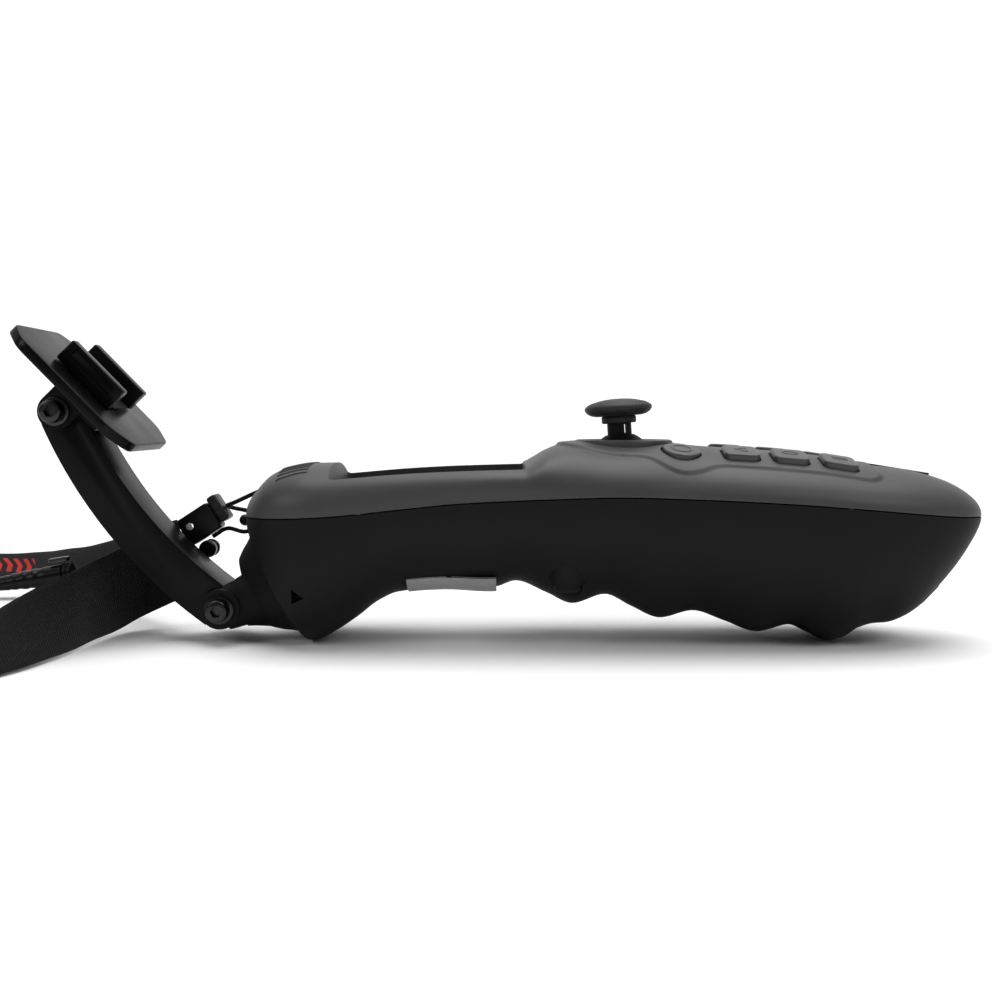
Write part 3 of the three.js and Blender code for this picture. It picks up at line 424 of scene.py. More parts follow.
def spread(start, end, step):
    count = max(1, round((end - start) / step))
    return [start + (end - start) * k / count for k in range(count)]


def body_stations(step):
    stations = [-62.65, -62.5, -62.2, -61.8, -61.2, -60.4, -59.4, -58.2]
    stations += spread(-57, 112, step)
    stations += spread(112, 117, 0.8)
    return stations + [117, 117.7, 118.3, 118.8, 119.1, 119.25]


def surface_frame(x, y):
    """Matrix on the top surface, its Z axis along the surface's normal."""
    d = 0.4
    along_x = Vector((2 * d, 0, top_at(x + d, y) - top_at(x - d, y)))
    along_y = Vector((0, 2 * d, top_at(x, y + d) - top_at(x, y - d)))
    normal = along_x.cross(along_y).normalized()
    right = along_x.normalized()
    across = normal.cross(right)
    matrix = Matrix((right, across, normal)).transposed().to_4x4()
    matrix.translation = (x, y, top_at(x, y))
    return matrix


def step_between(low, high, value):
    t = min(1, max(0, (value - low) / (high - low)))
    return t * t * (3 - 2 * t)


def soft_minimum(a, b, reach):
    """The smaller of two distances, rounded over where they are within reach of each other."""
    h = max(reach - abs(a - b), 0) / reach
    return min(a, b) - h * h * reach / 4


def island_distance(x, y):
    """Distance outside the raised panel that carries the joystick and the keys."""
    around_stick = math.hypot(x - PLATFORM["x"], y) - ISLAND["stick_radius"]
    around_button = math.hypot(x - ROUND_KEY["x"], abs(y) - ISLAND["button_y"]) - ISLAND["button_radius"]
    dx = max(abs(x - ISLAND["x"]) - (ISLAND["half_length"] - ISLAND["corner"]), 0)
    dy = max(abs(y) - (ISLAND["half_width"] - ISLAND["corner"]), 0)
    panel = math.hypot(dx, dy) - ISLAND["corner"]
    return soft_minimum(soft_minimum(around_stick, around_button, 5), panel, 4)


def island_lift(x, y):
    return ISLAND["rise"] * (1 - step_between(-0.3, 0.3, island_distance(x, y)))


# ---------------------------------------------------------------- shells
def outer_half(name, upper, step, count):
    rings = []
    for x in body_stations(step):
        middle = seam_at(x) + (GAP / 2 if upper else -GAP / 2)
        if upper:
            reach = max(0.3, crown_at(x) - middle)
        else:
            reach = min(-0.3, keel_at(x) - middle)
        exponent = shoulder_at(x) if upper else belly_at(x)
        ring = half_section(x, middle, half_width_at(x), reach, exponent, count)
        if upper and 10 < x < 95:
            ring = [(px, py, pz + island_lift(px, py) * step_between(0, 6, pz - middle))
                    for px, py, pz in ring]
        rings.append(ring)
    return loft(name, rings)


def behind_tail(name, offset):
    slope = Vector((math.cos(TAIL_FACE["tilt"]), -math.sin(TAIL_FACE["tilt"])))
    inward = Vector((-slope.y, slope.x))
    middle = Vector((TAIL_FACE["x"], TAIL_FACE["z"])) + inward * offset
    outline = [tuple(middle - slope * 60), tuple(middle + slope * 40), (-140, -60), (-140, 100)]
    return prism_y(name, outline, -40, 40)


def window_frame():
    return Matrix.Translation((WINDOW["x"], 0, WINDOW["z"])) @ Matrix.Rotation(-WINDOW["tilt"], 4, "Y")


def window_block(name, longer, wider, low, high, flare=0):
    """A block in line with the display window; flare lengthens its top at both ends."""
    rings = []
    for z, more in ((low, 0), (high, flare)):
        length = WINDOW["length"] + longer + more
        width = WINDOW["width"] + wider
        rings.append(level_ring(window_frame(), rounded_outline(length, width, 1.2), z))
    return loft(name, rings)


def cavity(name):
    rings = []
    for x in spread(-57, 114, 6):
        middle = seam_at(x)
        half = half_width_at(x) - WALL
        roof = crown_at(x) - WALL - middle
        floor = cavity_floor_at(x) - middle
        ring = half_section(x, middle, half, roof, shoulder_at(x), 10)
        under = half_section(x, middle, half, floor, belly_at(x), 10)
        rings.append(ring + under[::-1][1:-1])
    lining = window_block("lining", 5, 4, -1.6, 9)
    return combine(loft(name, rings), [behind_tail("tail_wall", 2.6), lining], "DIFFERENCE")


def key_places():
    places = []
    for side, sign in (("near", -1), ("far", 1)):
        for i in range(3):
            x = KEY["first"] + i * KEY["pitch"]
            places.append((f"key_{side}_{i + 1}", x, sign * KEY["row"]))
    return places


def block_on(name, outline, below, above, place):
    """A straight block from below to above the matrix place's own plane."""
    return loft(name, [level_ring(place, outline, -below), level_ring(place, outline, above)])


def cut_ball(name, radius):
    return lathe(name, ball_profile(radius, 6), 64, Matrix.Translation(STICK))


def upper_shell():
    """The top moulding with its platform, display recess and the holes for all that shows."""
    shell = outer_half("upper_shell_skin", True, 0.5, 168)
    r = PLATFORM["radius"]
    top = PLATFORM["top"]
    profile = [(0, 38), (r + 0.3, 38), (r + 0.3, 46.2), (r, 46.9), (r, top - 0.7),
               (r - 0.22, top - 0.2), (r - 0.7, top), (9.2, top), (9.0, top - 0.12), (0, top - 0.12)]
    platform = lathe("platform", profile, 96, Matrix.Translation((PLATFORM["x"], 0, 0)))
    combine(shell, [platform], "UNION")
    combine(shell, [cavity("upper_cavity")], "DIFFERENCE")
    cutters = [cut_ball("ball", DOME_RADIUS + 0.45)]
    cutters.append(window_block("window_hole", 0, 0, -6, 8, 3.5))
    size = KEY["size"] + 2 * GAP
    for name, x, y in key_places():
        outline = rounded_outline(size, size, 1.7)
        cutters.append(block_on(f"{name}_hole", outline, 5, 3, surface_frame(x, y)))
    for sign in (-1, 1):
        place = surface_frame(ROUND_KEY["x"], sign * ROUND_KEY["y"])
        outline = circle(ROUND_KEY["radius"] + GAP + 0.05, 64)
        cutters.append(block_on("round_hole", outline, 5, 3, place))
    slot = rounded_outline(LENS["length"] + 2 * GAP, LENS["width"] + 2 * GAP, 0.9)
    cutters.append(block_on("lens_hole", slot, 4.5, 4.5, surface_frame(LENS["x"], 0)))
    cutters.append(box("lanyard_notch", (-61.1, 10, 36), (9.8, 5, 5)))
    cutters.append(cylinder_y("pin_bore", -58.3, 36, 1.2, 6.2, 13.8, 24))
    return smooth(combine(shell, cutters, "DIFFERENCE"), 32)


def port_frame():
    """Matrix on the keel below the nose, its Z axis pointing out of the body."""
    d = 0.5
    rise = keel_at(PORT["x"] + d) - keel_at(PORT["x"] - d)
    along = Vector((2 * d, 0, rise)).normalized()
    across = Vector((0, -1, 0))
    normal = along.cross(across)
    matrix = Matrix((along, across, normal)).transposed().to_4x4()
    matrix.translation = (PORT["x"], 0, keel_at(PORT["x"]))
    return matrix


def on_tail_axis():
    """Matrix whose Z axis runs backwards out of the slanted tail face."""
    tilt = TAIL_FACE["tilt"]
    backwards = Vector((-math.sin(tilt), 0, -math.cos(tilt)))
    turn = Vector((0, 0, 1)).rotation_difference(backwards).to_matrix().to_4x4()
    return Matrix.Translation((TAIL_FACE["x"], 0, TAIL_FACE["z"])) @ turn


def tail_bore(name, radius, start, end, sides=32):
    """A bore through the tail face; negative is outside the body, positive is inside it."""
    profile = [(0, -end), (radius, -end), (radius, -start), (0, -start)]
    return lathe(name, profile, sides, on_tail_axis())


def lower_shell():
    """The bottom moulding with its screw bosses, tail pockets, port recess and base bore."""
    shell = outer_half("lower_shell_skin", False, 0.9, 120)
    combine(shell, [behind_tail("tail_cut", 0), cavity("lower_cavity")], "DIFFERENCE")
    cutters = []
    for sign in (-1, 1):
        y = sign * PLUG["y"]
        boss = cylinder_z("boss", PLUG["x"], y, 4.6, 16, 24)
        combine(shell, [boss], "UNION")
        cutters.append(cylinder_z("plug_hole", PLUG["x"], y, PLUG["radius"] + GAP, 0, PLUG["top"] + 3))
        cutters.append(cylinder_z("screw_hole", PLUG["x"], y, 1.3, PLUG["top"], 30, 24))
        pocket = [(-49.3, 11.2), (-46.3, 12.6), (-49.1, 14.9)]
        side = sign * (half_width_at(-48) - 6)
        outer = sign * (half_width_at(-48) + 4)
        cutters.append(prism_y("tail_pocket", pocket, *sorted((side, outer))))
    recess = rounded_outline(PORT["length"] + 2 * GAP, PORT["width"] + 2 * GAP, 1.6)
    cutters.append(block_on("port_recess", recess, PORT["depth"] + 0.4, 3, port_frame()))
    cutters.append(block_on("port_bore", rounded_outline(3.6, 9.6, 1.2), 12, 0, port_frame()))
    cutters.append(tail_bore("base_bore", 2.4, -1, 12))
    for cutter in cutters:
        combine(shell, [cutter], "DIFFERENCE")
    return smooth(shell, 32)


def rear_rib(index, y):
    """One of the raised lines across the hump behind the display."""
    spots = []
    for x in spread(-53.5, -46, 0.5) + [-46]:
        spots.append((x, y, top_at(x, y) - 0.1))
    return tube(f"rear_rib_{index}", spots, 0.34, 10)


# ---------------------------------------------------------------- display, lens, label, plugs
def display_window():
    outline = rounded_outline(WINDOW["length"] - 2 * GAP, WINDOW["width"] - 2 * GAP, 0.8)
    window = block_on("display_window_pane", outline, 0, 1.4, window_frame())
    return smooth(bevelled(window, 0.25), 30)


def status_lens():
    outline = rounded_outline(LENS["length"], LENS["width"], 0.69, 8)
    lens = block_on("status_lens_bar", outline, 2.5, 0.1, surface_frame(LENS["x"], 0))
    return smooth(bevelled(lens, 0.15), 30)


def rating_label():
    rings = []
    for x in spread(-22.4, -0.9, 1.1) + [-0.9]:
        middle = seam_at(x)
        ring = []
        lift = 0.8 * step_between(-14, -1, x)
        for extra in (0.42 + lift, 0.05 + lift):
            half = half_width_at(x) + extra
            drop = keel_at(x) - extra - middle
            arc = half_section(x, middle, half, drop, belly_at(x), 72)[20:53]
            ring += arc if extra > 0.1 else arc[::-1]
        rings.append(ring)
    return smooth(loft("rating_label_film", rings), 40)


def screw_plug(side, sign):
    place = Matrix.Translation((PLUG["x"], sign * PLUG["y"], 0))
    r = PLUG["radius"]
    low = PLUG["bottom"]
    profile = [(0, low + 0.35), (1.1, low + 0.35), (1.35, low), (r - 0.4, low), (r, low + 0.4),
               (r, PLUG["top"]), (0, PLUG["top"])]
    return smooth(lathe(f"screw_plug_{side}_rubber", profile, 48, place), 40)


def port_cover():
    outline = rounded_outline(PORT["length"], PORT["width"], 1.4)
    cover = block_on("port_cover_rubber", outline, PORT["depth"], 0.1, port_frame())
    return smooth(bevelled(cover, 0.3), 30)


# ---------------------------------------------------------------- joystick and keys
def stick_frame():
    return Matrix.Translation(STICK) @ Matrix.Rotation(STICK_LEAN, 4, "Y")


def joystick_cap():
    profile = [(0, 11.8), (4.5, 11.8), (5.6, 11.7), (6.9, 12.0), (7.8, 12.55), (8.3, 13.2), (8.4, 13.75),
               (8.15, 14.2), (7.5, 14.65), (6.9, 14.9), (6.1, 15.22), (4.6, 15.6), (3.0, 15.85),
               (1.5, 15.97), (0, 16.0)]
    cap = lathe("joystick_cap_rubber", profile, 96, stick_frame())
    return smooth(cap, 50)


def cap_rib(index, count):
    """A short raised rib on the rim of the cap."""
    angle = 2 * math.pi * index / count
    spot = Matrix.Rotation(angle, 4, "Z") @ Matrix.Translation((7.15, 0, 14.72))
    place = stick_frame() @ spot @ Matrix.Rotation(math.radians(28), 4, "Y")
    outline = rounded_outline(1.3, 0.3, 0.13, 3)
    return block_on(f"rib_{index}", outline, 0.5, 0.09, place)


def joystick_collar():
    profile = [(3.35, 9.9), (3.95, 9.9), (4.2, 10.05), (4.3, 10.3), (4.3, 11.3), (4.2, 11.55),
               (3.95, 11.7), (3.35, 11.7), (3.35, 9.9)]
    return smooth(lathe("joystick_collar_ring", profile, 64, stick_frame()), 40)


def joystick_stem():
    profile = [(0, -1.3), (2, -1.3), (2, 4), (2.2, 4.6), (2.7, 5.0), (3, 5.3), (3, 12.2), (0, 12.2)]
    stem = lathe("joystick_stem_post", profile, 64, stick_frame())
    outline = rounded_outline(0.7, 8, 0.3)
    slot = block_on("stem_slot", outline, -7.4, 9.6, stick_frame() @ Matrix.Translation((1.3, 0, 0)))
    return smooth(combine(stem, [slot], "DIFFERENCE"), 35)


def joystick_dome():
    outer = [(DOME_RADIUS * math.sin(math.radians(a)), DOME_RADIUS * math.cos(math.radians(a)))
             for a in range(26, 61, 2)]
    inner = [(max(3.35, r * 0.86), h * 0.86) for r, h in reversed(outer)]
    profile = outer + inner + [outer[0]]
    return smooth(lathe("joystick_dome_skirt", profile, 96, stick_frame()), 40)


def cushion_key(name, outline_at, below, rise, place, fillet=0.55, crown=0.12):
    """A key with a filleted rim and a slightly crowned top; outline_at gives the inset outline."""
    rings = [level_ring(place, outline_at(0), -below)]
    for k in range(6):
        angle = math.radians(90 * k / 5)
        inset = fillet * (1 - math.cos(angle))
        height = rise - fillet + fillet * math.sin(angle)
        rings.append(level_ring(place, outline_at(inset), height))
    for part in (0.3, 0.6, 0.85):
        inset = fillet + part * 3.2
        height = rise + crown * (1 - (1 - part) ** 2)
        rings.append(level_ring(place, outline_at(inset), height))
    return smooth(loft(name, rings), 40)


def rectangular_key(name, x, y):
    size = KEY["size"]

    def outline(inset):
        return rounded_outline(size - 2 * inset, size - 2 * inset, max(0.4, 1.7 - inset))
    return cushion_key(f"{name}_cap", outline, KEY["depth"] - KEY["rise"], KEY["rise"],
                       surface_frame(x, y))


def round_button(side, sign):
    def outline(inset):
        return circle(ROUND_KEY["radius"] - inset, 64)
    place = surface_frame(ROUND_KEY["x"], sign * ROUND_KEY["y"])
    return cushion_key(f"round_button_{side}_cap", outline, 2.4, ROUND_KEY["rise"], place)


def tube(name, points, radius, sides=8, closed=False):
    """A tube along points in the body's frame; closed joins its two ends."""
    points = [Vector(p) for p in points]
    count = len(points)
    rings = []
    normal = None
    for i, point in enumerate(points):
        before = points[i - 1] if closed or i else points[i]
        after = points[(i + 1) % count] if closed or i < count - 1 else points[i]
        along = (after - before).normalized()
        if normal is None:
            normal = along.orthogonal().normalized()
        normal = (normal - along * normal.dot(along)).normalized()
        other = along.cross(normal)
        rings.append([tuple(point + radius * (a * normal + b * other))
                      for a, b in circle(1, sides)])
    if not closed:
        return smooth(loft(name, rings), 60)
    vertices = [p for ring in rings for p in ring]
    faces = ring_faces(count, sides)
    last = (count - 1) * sides
    for k in range(sides):
        faces.append((last + k, last + (k + 1) % sides, (k + 1) % sides, k))
    return smooth(new_piece(name, vertices, faces), 60)


def dense(points, closed, step=0.35):
    """Points every step along straight runs between the given points."""
    out = []
    pairs = list(zip(points, points[1:] + points[:1] if closed else points[1:]))
    for a, b in pairs:
        gap = math.hypot(b[0] - a[0], b[1] - a[1])
        for k in range(max(1, round(gap / step))):
            t = k * step / gap if gap else 0
            out.append((a[0] + (b[0] - a[0]) * t, a[1] + (b[1] - a[1]) * t))
    if not closed:
        out.append(points[-1])
    return out


def icon_outlines():
    """Generic raised marks: arrow, bars and rings, as open or closed outlines on a key's top."""
    ring = circle(1.7, 36)
    oval = [(1.9 * a, 1.1 * b) for a, b in circle(1, 36)]
    arrow = [(-1.5, 0), (1.3, 1.6), (1.3, -1.6)]
    bars = [[(-1.8, 0.7), (1.8, 0.7)], [(-1.8, -0.7), (1.8, -0.7)]]
    square = [(-1.4, -1.4), (1.4, -1.4), (1.4, 1.4), (-1.4, 1.4)]
    return {
        "key_near_1": [(arrow, True)], "key_near_2": [(oval, True)],
        "key_near_3": [(bars[0], False), (bars[1], False)],
        "key_far_1": [(ring, True)], "key_far_2": [(square, True)],
        "key_far_3": [([(-1.9, 0), (1.9, 0)], False), ([(0, -1.9), (0, 1.9)], False)],
    }


def key_icon(name, x, y):
    place = surface_frame(x, y)
    top = KEY["rise"] + 0.07
    lines = []
    for i, (outline, closed) in enumerate(icon_outlines()[name]):
        spots = [tuple(place @ Vector((px, py, top))) for px, py in dense(outline, closed)]
        lines.append(tube(f"{name}_mark_{i + 1}", spots, 0.2, 8, closed))
    return lines


def round_icon(side, sign):
    place = surface_frame(ROUND_KEY["x"], sign * ROUND_KEY["y"])
    top = ROUND_KEY["rise"] + 0.06
    spots = [tuple(place @ Vector((2.3 * a, 2.3 * b, top))) for a, b in circle(1, 48)]
    return tube(f"round_button_{side}_mark", spots, 0.22, 8, True)


# ---------------------------------------------------------------- arm base, arm and plate
def base_neck():
    """The stretch where the round trumpet widens sideways into the clevis ears."""
    rings = []
    for height, tall, half, exponent in ((5.2, 11.2, 9.6, 2), (7, 9.9, 9.0, 2), (9, 8.6, 8.7, 2.2),
                                         (11, 7.2, 9.1, 2.8), (13, 5.9, 9.7, 4), (15.6, 4.9, 10, 8)):
        ring = []
        for k in range(64):
            angle = 2 * math.pi * k / 64
            c = math.cos(angle)
            s = math.sin(angle)
            across = math.copysign(abs(c) ** (2 / exponent), c) * tall
            along = math.copysign(abs(s) ** (2 / exponent), s) * half
            ring.append(tuple(on_tail_axis() @ Vector((across, along, height))))
        rings.append(ring)
    return loft("neck", rings)


def arm_base():
    profile = [(0, GAP), (15.2, GAP), (15.2, 0.8), (14.9, 1.1), (13.4, 2.5), (12.4, 3.9), (11.5, 5.4),
               (10.5, 6.7), (9.6, 7.8), (8.4, 9.1), (7.0, 10.4), (6.0, 12), (0, 12)]
    squeeze = Matrix.Diagonal((1, FLANGE_SQUEEZE, 1, 1))
    base = lathe("arm_base_trumpet", profile, 96, on_tail_axis() @ squeeze)
    neck = base_neck()
    x = LOWER_PIVOT["x"]
    z = LOWER_PIVOT["z"]
    ears = cylinder_y("ears", x, z, LOWER_PIVOT["ear"], -EAR_OUT, EAR_OUT, 64)
    combine(base, [neck, ears], "UNION")
    slot = prism_y("slot", [(-61.6, 12.6), (-66, 22), (-90, 30), (-90, -10), (-66, -4), (-62.4, 2.4)],
                   -EAR_IN, EAR_IN)
    swing = cylinder_y("swing", x, z, 7, -EAR_IN, EAR_IN, 64)
    hole = cylinder_y("hole", x, z, SCREW["hole"], -14, 14)
    for cutter in (slot, swing, hole, tail_bore("shaft_bore", 2.4, -5, 1),
                   tail_bore("head_bore", 4.2, -20, -4)):
        combine(base, [cutter], "DIFFERENCE")
    return smooth(base, 35)


def around(centre, radius, start, end, count):
    return arc_points(centre["x"], centre["z"], radius, start, end, count)


def tilt_arm():
    outline = around(ARM_ARC, ARM_ARC["outer"], 203, 234, 48)
    outline += around(LOWER_PIVOT, ARM_ARC["end"], 240, 410, 28)
    outline += around(ARM_ARC, ARM_ARC["inner"], 234, 203, 48)
    outline += around(UPPER_PIVOT, ARM_ARC["end"], 20, 195, 28)
    arm = prism_y("tilt_arm_bar", outline, -ARM_HALF, ARM_HALF)
    holes = [cylinder_y("hole", p["x"], p["z"], SCREW["hole"], -9, 9)
             for p in (LOWER_PIVOT, UPPER_PIVOT)]
    combine(arm, holes, "DIFFERENCE")
    return smooth(bevelled(arm, 0.35, 3, 60), 35)


def plate_frame():
    """Matrix on the plate's underside, its X axis down the slope and its Z axis out of it."""
    tilt = PLATE["tilt"]
    down = Vector((math.cos(tilt), 0, -math.sin(tilt)))
    out = Vector((math.sin(tilt), 0, math.cos(tilt)))
    matrix = Matrix((down, Vector((0, 1, 0)), out)).transposed().to_4x4()
    matrix.translation = Vector((UPPER_PIVOT["x"], 0, UPPER_PIVOT["z"])) + out * PLATE["lift"]
    return matrix


def chamfered_square(half, cut, radius):
    """A square with cut corners whose own corners are eased by a small radius."""
    corners = [(half, -cut), (half, cut), (cut, half), (-cut, half), (-half, cut),
               (-half, -cut), (-cut, -half), (cut, -half)]
    points = []
    for i, corner in enumerate(corners):
        here = Vector(corner)
        before = (Vector(corners[i - 1]) - here).normalized() * radius
        after = (Vector(corners[(i + 1) % 8]) - here).normalized() * radius
        for k in range(5):
            t = k / 4
            bend = (1 - t) ** 2 * (here + before) + 2 * t * (1 - t) * here + t * t * (here + after)
            points.append(tuple(bend))
    return points


def accessory_plate():
    half = PLATE["size"] / 2
    outline = chamfered_square(half, half - PLATE["corner"], 2.2)
    plate = block_on("accessory_plate_sheet", outline, 0, PLATE["thickness"], plate_frame())
    bevelled(plate, 0.4, 3, 50)
    ear = UPPER_PIVOT["ear"]
    for side in (-1, 1):
        low, high = sorted((side * EAR_IN, side * EAR_OUT))
        root = [(-ear, low), (ear, low), (ear, high), (-ear, high)]
        combine(plate, [block_on("ear_root", root, PLATE["lift"], 0.5, plate_frame())], "UNION")
        foot = [(0.9, low), (9.9, low), (9.9, high), (0.9, high)]
        combine(plate, [block_on("ear_foot", foot, 3.1, 0.3, plate_frame())], "UNION")
        barrel = cylinder_y("barrel", UPPER_PIVOT["x"], UPPER_PIVOT["z"], ear, low, high, 64)
        combine(plate, [barrel], "UNION")
    hole = cylinder_y("hole", UPPER_PIVOT["x"], UPPER_PIVOT["z"], SCREW["hole"], -12, 12)
    return smooth(combine(plate, [hole], "DIFFERENCE"), 30)


def rail(side, sign):
    base = PLATE["thickness"] + GAP
    low, high = sorted((sign * RAIL["inner"], sign * RAIL["outer"]))
    half = RAIL["length"] / 2
    left = -RAIL["up_slope"] - half
    right = -RAIL["up_slope"] + half
    top = base + RAIL["height"]
    place = plate_frame()
    outline = [(left, low), (right, low), (right, high), (left, high)]
    wall = block_on(f"rail_{side}_frame", outline, -base, top, place)
    bevelled(wall, 0.45, 3, 50)
    mouth = sorted((sign * (RAIL["outer"] - 1.0), sign * (RAIL["outer"] + 2)))
    pocket = [(left + 2.2, mouth[0]), (right - 2.2, mouth[0]), (right - 2.2, mouth[1]),
              (left + 2.2, mouth[1])]
    hole = block_on("pocket", pocket, -(base + 2.4), top - 0.95, place)
    bevelled(hole, 0.3, 2, 50)
    return smooth(combine(wall, [hole], "DIFFERENCE"), 35)


def slot_pad():
    x = -RAIL["up_slope"]
    place = plate_frame() @ Matrix.Translation((x, 0, PLATE["thickness"] + GAP))
    outline = rounded_outline(RAIL["length"], 2 * RAIL["inner"] - 0.8, 0.8)
    return smooth(bevelled(block_on("slot_pad_rubber", outline, 0, 0.6, place), 0.15), 30)


# ---------------------------------------------------------------- pivot fasteners
HEAD_Y = -(EAR_OUT + 2 * GAP + 0.5)


def pivot_screw(level, pivot):
    """A socket-head screw: knurled head, chamfered rim and hexagonal socket."""
    x = pivot["x"]
    z = pivot["z"]
    head = SCREW["head"]
    outline = []
    for k in range(72):
        radius = head if k % 2 else head - 0.09
        angle = 2 * math.pi * k / 72
        outline.append((radius * math.cos(angle), radius * math.sin(angle)))
    rings = []
    front = HEAD_Y - SCREW["head_height"]
    for y, scale in ((HEAD_Y, 1), (front + 0.5, 1), (front + 0.35, 0.985), (front + 0.1, 0.93),
                     (front, 0.86)):
        rings.append([(x + a * scale, y, z + b * scale) for a, b in outline])
    screw = loft(f"{level}_pivot_screw_head", rings)
    shank = cylinder_y("shank", x, z, SCREW["shank"], HEAD_Y - 1, EAR_OUT + 3.2)
    combine(screw, [shank], "UNION")
    hexagon = [(x + a, z + b) for a, b in circle(SCREW["hex"], 6)]
    socket = prism_y("socket", hexagon, front - 1, front + 1.6)
    return smooth(combine(screw, [socket], "DIFFERENCE"), 30)


def pivot_nut(level, pivot):
    hexagon = [(pivot["x"] + a, pivot["z"] + b) for a, b in circle(3.17, 6)]
    nut = prism_y(f"{level}_pivot_nut_hex", hexagon, EAR_OUT + GAP, EAR_OUT + GAP + 2.4)
    bevelled(nut, 0.2, 2, 30)
    hole = cylinder_y("hole", pivot["x"], pivot["z"], SCREW["hole"], 8, 15)
    return smooth(combine(nut, [hole], "DIFFERENCE"), 30)


def pivot_washer(level, pivot):
    name = f"{level}_pivot_washer_disc"
    washer = cylinder_y(name, pivot["x"], pivot["z"], 3.5, HEAD_Y + GAP, HEAD_Y + GAP + 0.5, 64)
    hole = cylinder_y("hole", pivot["x"], pivot["z"], SCREW["hole"], -12, -9)
    return smooth(bevelled(combine(washer, [hole], "DIFFERENCE"), 0.12), 30)


# ---------------------------------------------------------------- lanyard
WEBBING = {"width": 20, "thickness": 1.2}
CORD_DIAMETER = 1.1
FLOOR_GAP = 0.12
# Edge pairs of the strap: lower x, y, z and upper x, y, z, outwards from the buckle.
FRONT_STRAP = [
    (-85.2, 15.0, 7.2, -88.8, 14.8, 27.0), (-93.6, 10.4, 3.4, -94.2, 11.2, 23.4),
    (-97.6, 3.4, 1.2, -98.4, 4.8, 21.2), (-99.6, -9.4, 0.9, -101.2, -3.0, 19.6),
    (-100.2, -21.8, 0.8, -103.4, -12.4, 18.0), (-102.2, -33.4, 0.8, -107.0, -22.4, 16.2),
    (-104.8, -44.6, 0.8, -110.8, -32.0, 13.4), (-109.6, -55.2, 0.8, -115.0, -39.4, 10.2),
    (-118.4, -62.4, 0.8, -120.0, -43.6, 7.4), (-130.6, -63.4, 0.8, -128.6, -44.2, 6.0),
    (-142.0, -56.0, 0.8, -133.4, -39.0, 6.2), (-149.8, -43.0, 0.8, -137.4, -28.4, 7.6),
    (-152.0, -27.0, 0.8, -141.8, -16.0, 13.6), (-153.6, -13.0, 0.8, -150.4, -6.4, 19.4),
]
REAR_STRAP = [
    (-84.4, 18.6, 12.2, -86.6, 20.4, 28.0), (-91.6, 27.0, 8.8, -95.6, 32.6, 25.4),
    (-100.4, 37.0, 6.2, -106.0, 45.4, 22.0), (-110.6, 48.6, 3.8, -117.0, 59.2, 18.4),
    (-121.6, 61.0, 2.0, -128.0, 73.6, 15.4), (-133.0, 74.0, 0.8, -139.4, 88.4, 13.0),
    (-144.6, 87.0, 0.8, -151.2, 102.8, 10.6), (-156.4, 99.4, 0.8, -164.0, 115.6, 8.6),
    (-169.8, 109.8, 0.8, -178.4, 126.0, 7.2), (-185.4, 115.0, 0.8, -192.4, 132.6, 6.4),
    (-201.4, 112.8, 0.8, -206.0, 131.4, 5.8), (-214.6, 103.8, 0.8, -224.6, 120.4, 5.4),
    (-222.8, 89.6, 0.8, -239.2, 99.6, 5.4), (-226.0, 72.0, 0.8, -243.8, 75.0, 9.0),
    (-228.4, 54.0, 0.8, -240.6, 56.0, 16.2),
]
HANK = {"x": -215.6, "y": 20, "straight": 38, "depth": 16.2, "pitch": 3.6, "turn": 250, "steps": 10,
        "bottom": 0.8, "top": 20.7}
TIE = {"width": 7, "height": 20.7, "middle": 10.75, "thickness": 0.5, "slack": 1.1}
BUCKLE = {"x": -78.2, "y": 14.6, "z": 27.7, "turn": math.radians(33)}
ROLLER = {"x": -76.4, "z": 21.0}
BEAD = {"x": -67.0, "y": 14.8, "z": 28.4, "radius": 1.5}
CLASP = {"x": -132.6, "y": 68, "z": 7.6, "turn": math.radians(4), "rise": math.radians(8.5)}
LOOP_ROUTE = [
    (-60.2, 10.0, 36.8), (-62.4, 10.6, 36.2), (-64.6, 11.2, 35.3), (-66.8, 11.8, 34.3),
    (-69.0, 12.3, 33.3), (-70.8, 13.0, 32.6), (-71.6, 14.4, 32.2), (-70.9, 15.9, 31.7),
    (-69.2, 16.8, 31.2), (-67.2, 16.9, 30.8), (-65.4, 16.3, 30.1), (-64.2, 15.0, 28.9),
    (-64.1, 13.6, 27.4), (-65.3, 13.0, 25.9), (-67.1, 13.0, 25.5), (-69.0, 13.4, 25.9),
    (-70.8, 14.0, 26.3), (-72.5, 14.4, 26.0), (-74.1, 14.6, 25.0), (-75.5, 14.6, 24.1),
]
LEAD_ROUTE = [
    (-83.4, 16.2, 23.6), (-86.4, 17.0, 22.6), (-89.8, 18.9, 21.4), (-93.4, 22.0, 20.0), (-97.0, 25.8, 18.6),
    (-100.6, 30.0, 17.2), (-104.2, 34.4, 15.8), (-107.8, 38.9, 14.5), (-111.4, 43.5, 13.3),
    (-115.0, 48.2, 12.2), (-118.6, 53.2, 11.2), (-122.0, 58.0, 10.2), (-125.2, 62.4, 9.2),
    (-127.8, 65.6, 8.6), (-130.7, 67.9, 8.1),
]


def hank_half():
    """One end's turn round the stored hank, from the entry at its right end to its middle."""
    points = []
    travelled = 0.0
    straight = HANK["straight"]
    steps = HANK["steps"]

    def depth_at(distance):
        return HANK["depth"] - HANK["pitch"] * distance / HANK["turn"]
    for side in (-1, 1):
        for k in range(steps):
            points.append((side * (2 * straight * k / steps - straight), side * depth_at(travelled)))
            travelled += 2 * straight / steps
        for k in range(steps):
            angle = math.radians(side * 90 - 180 * k / steps)
            h = depth_at(travelled)
            points.append((side * straight + h * math.cos(angle), h * math.sin(angle)))
            travelled += math.pi * h / steps
    h = depth_at(travelled)
    return points + [(straight - 6, -h), (straight - 16, -h + 1.0), (straight - 26, -h * 0.55)]


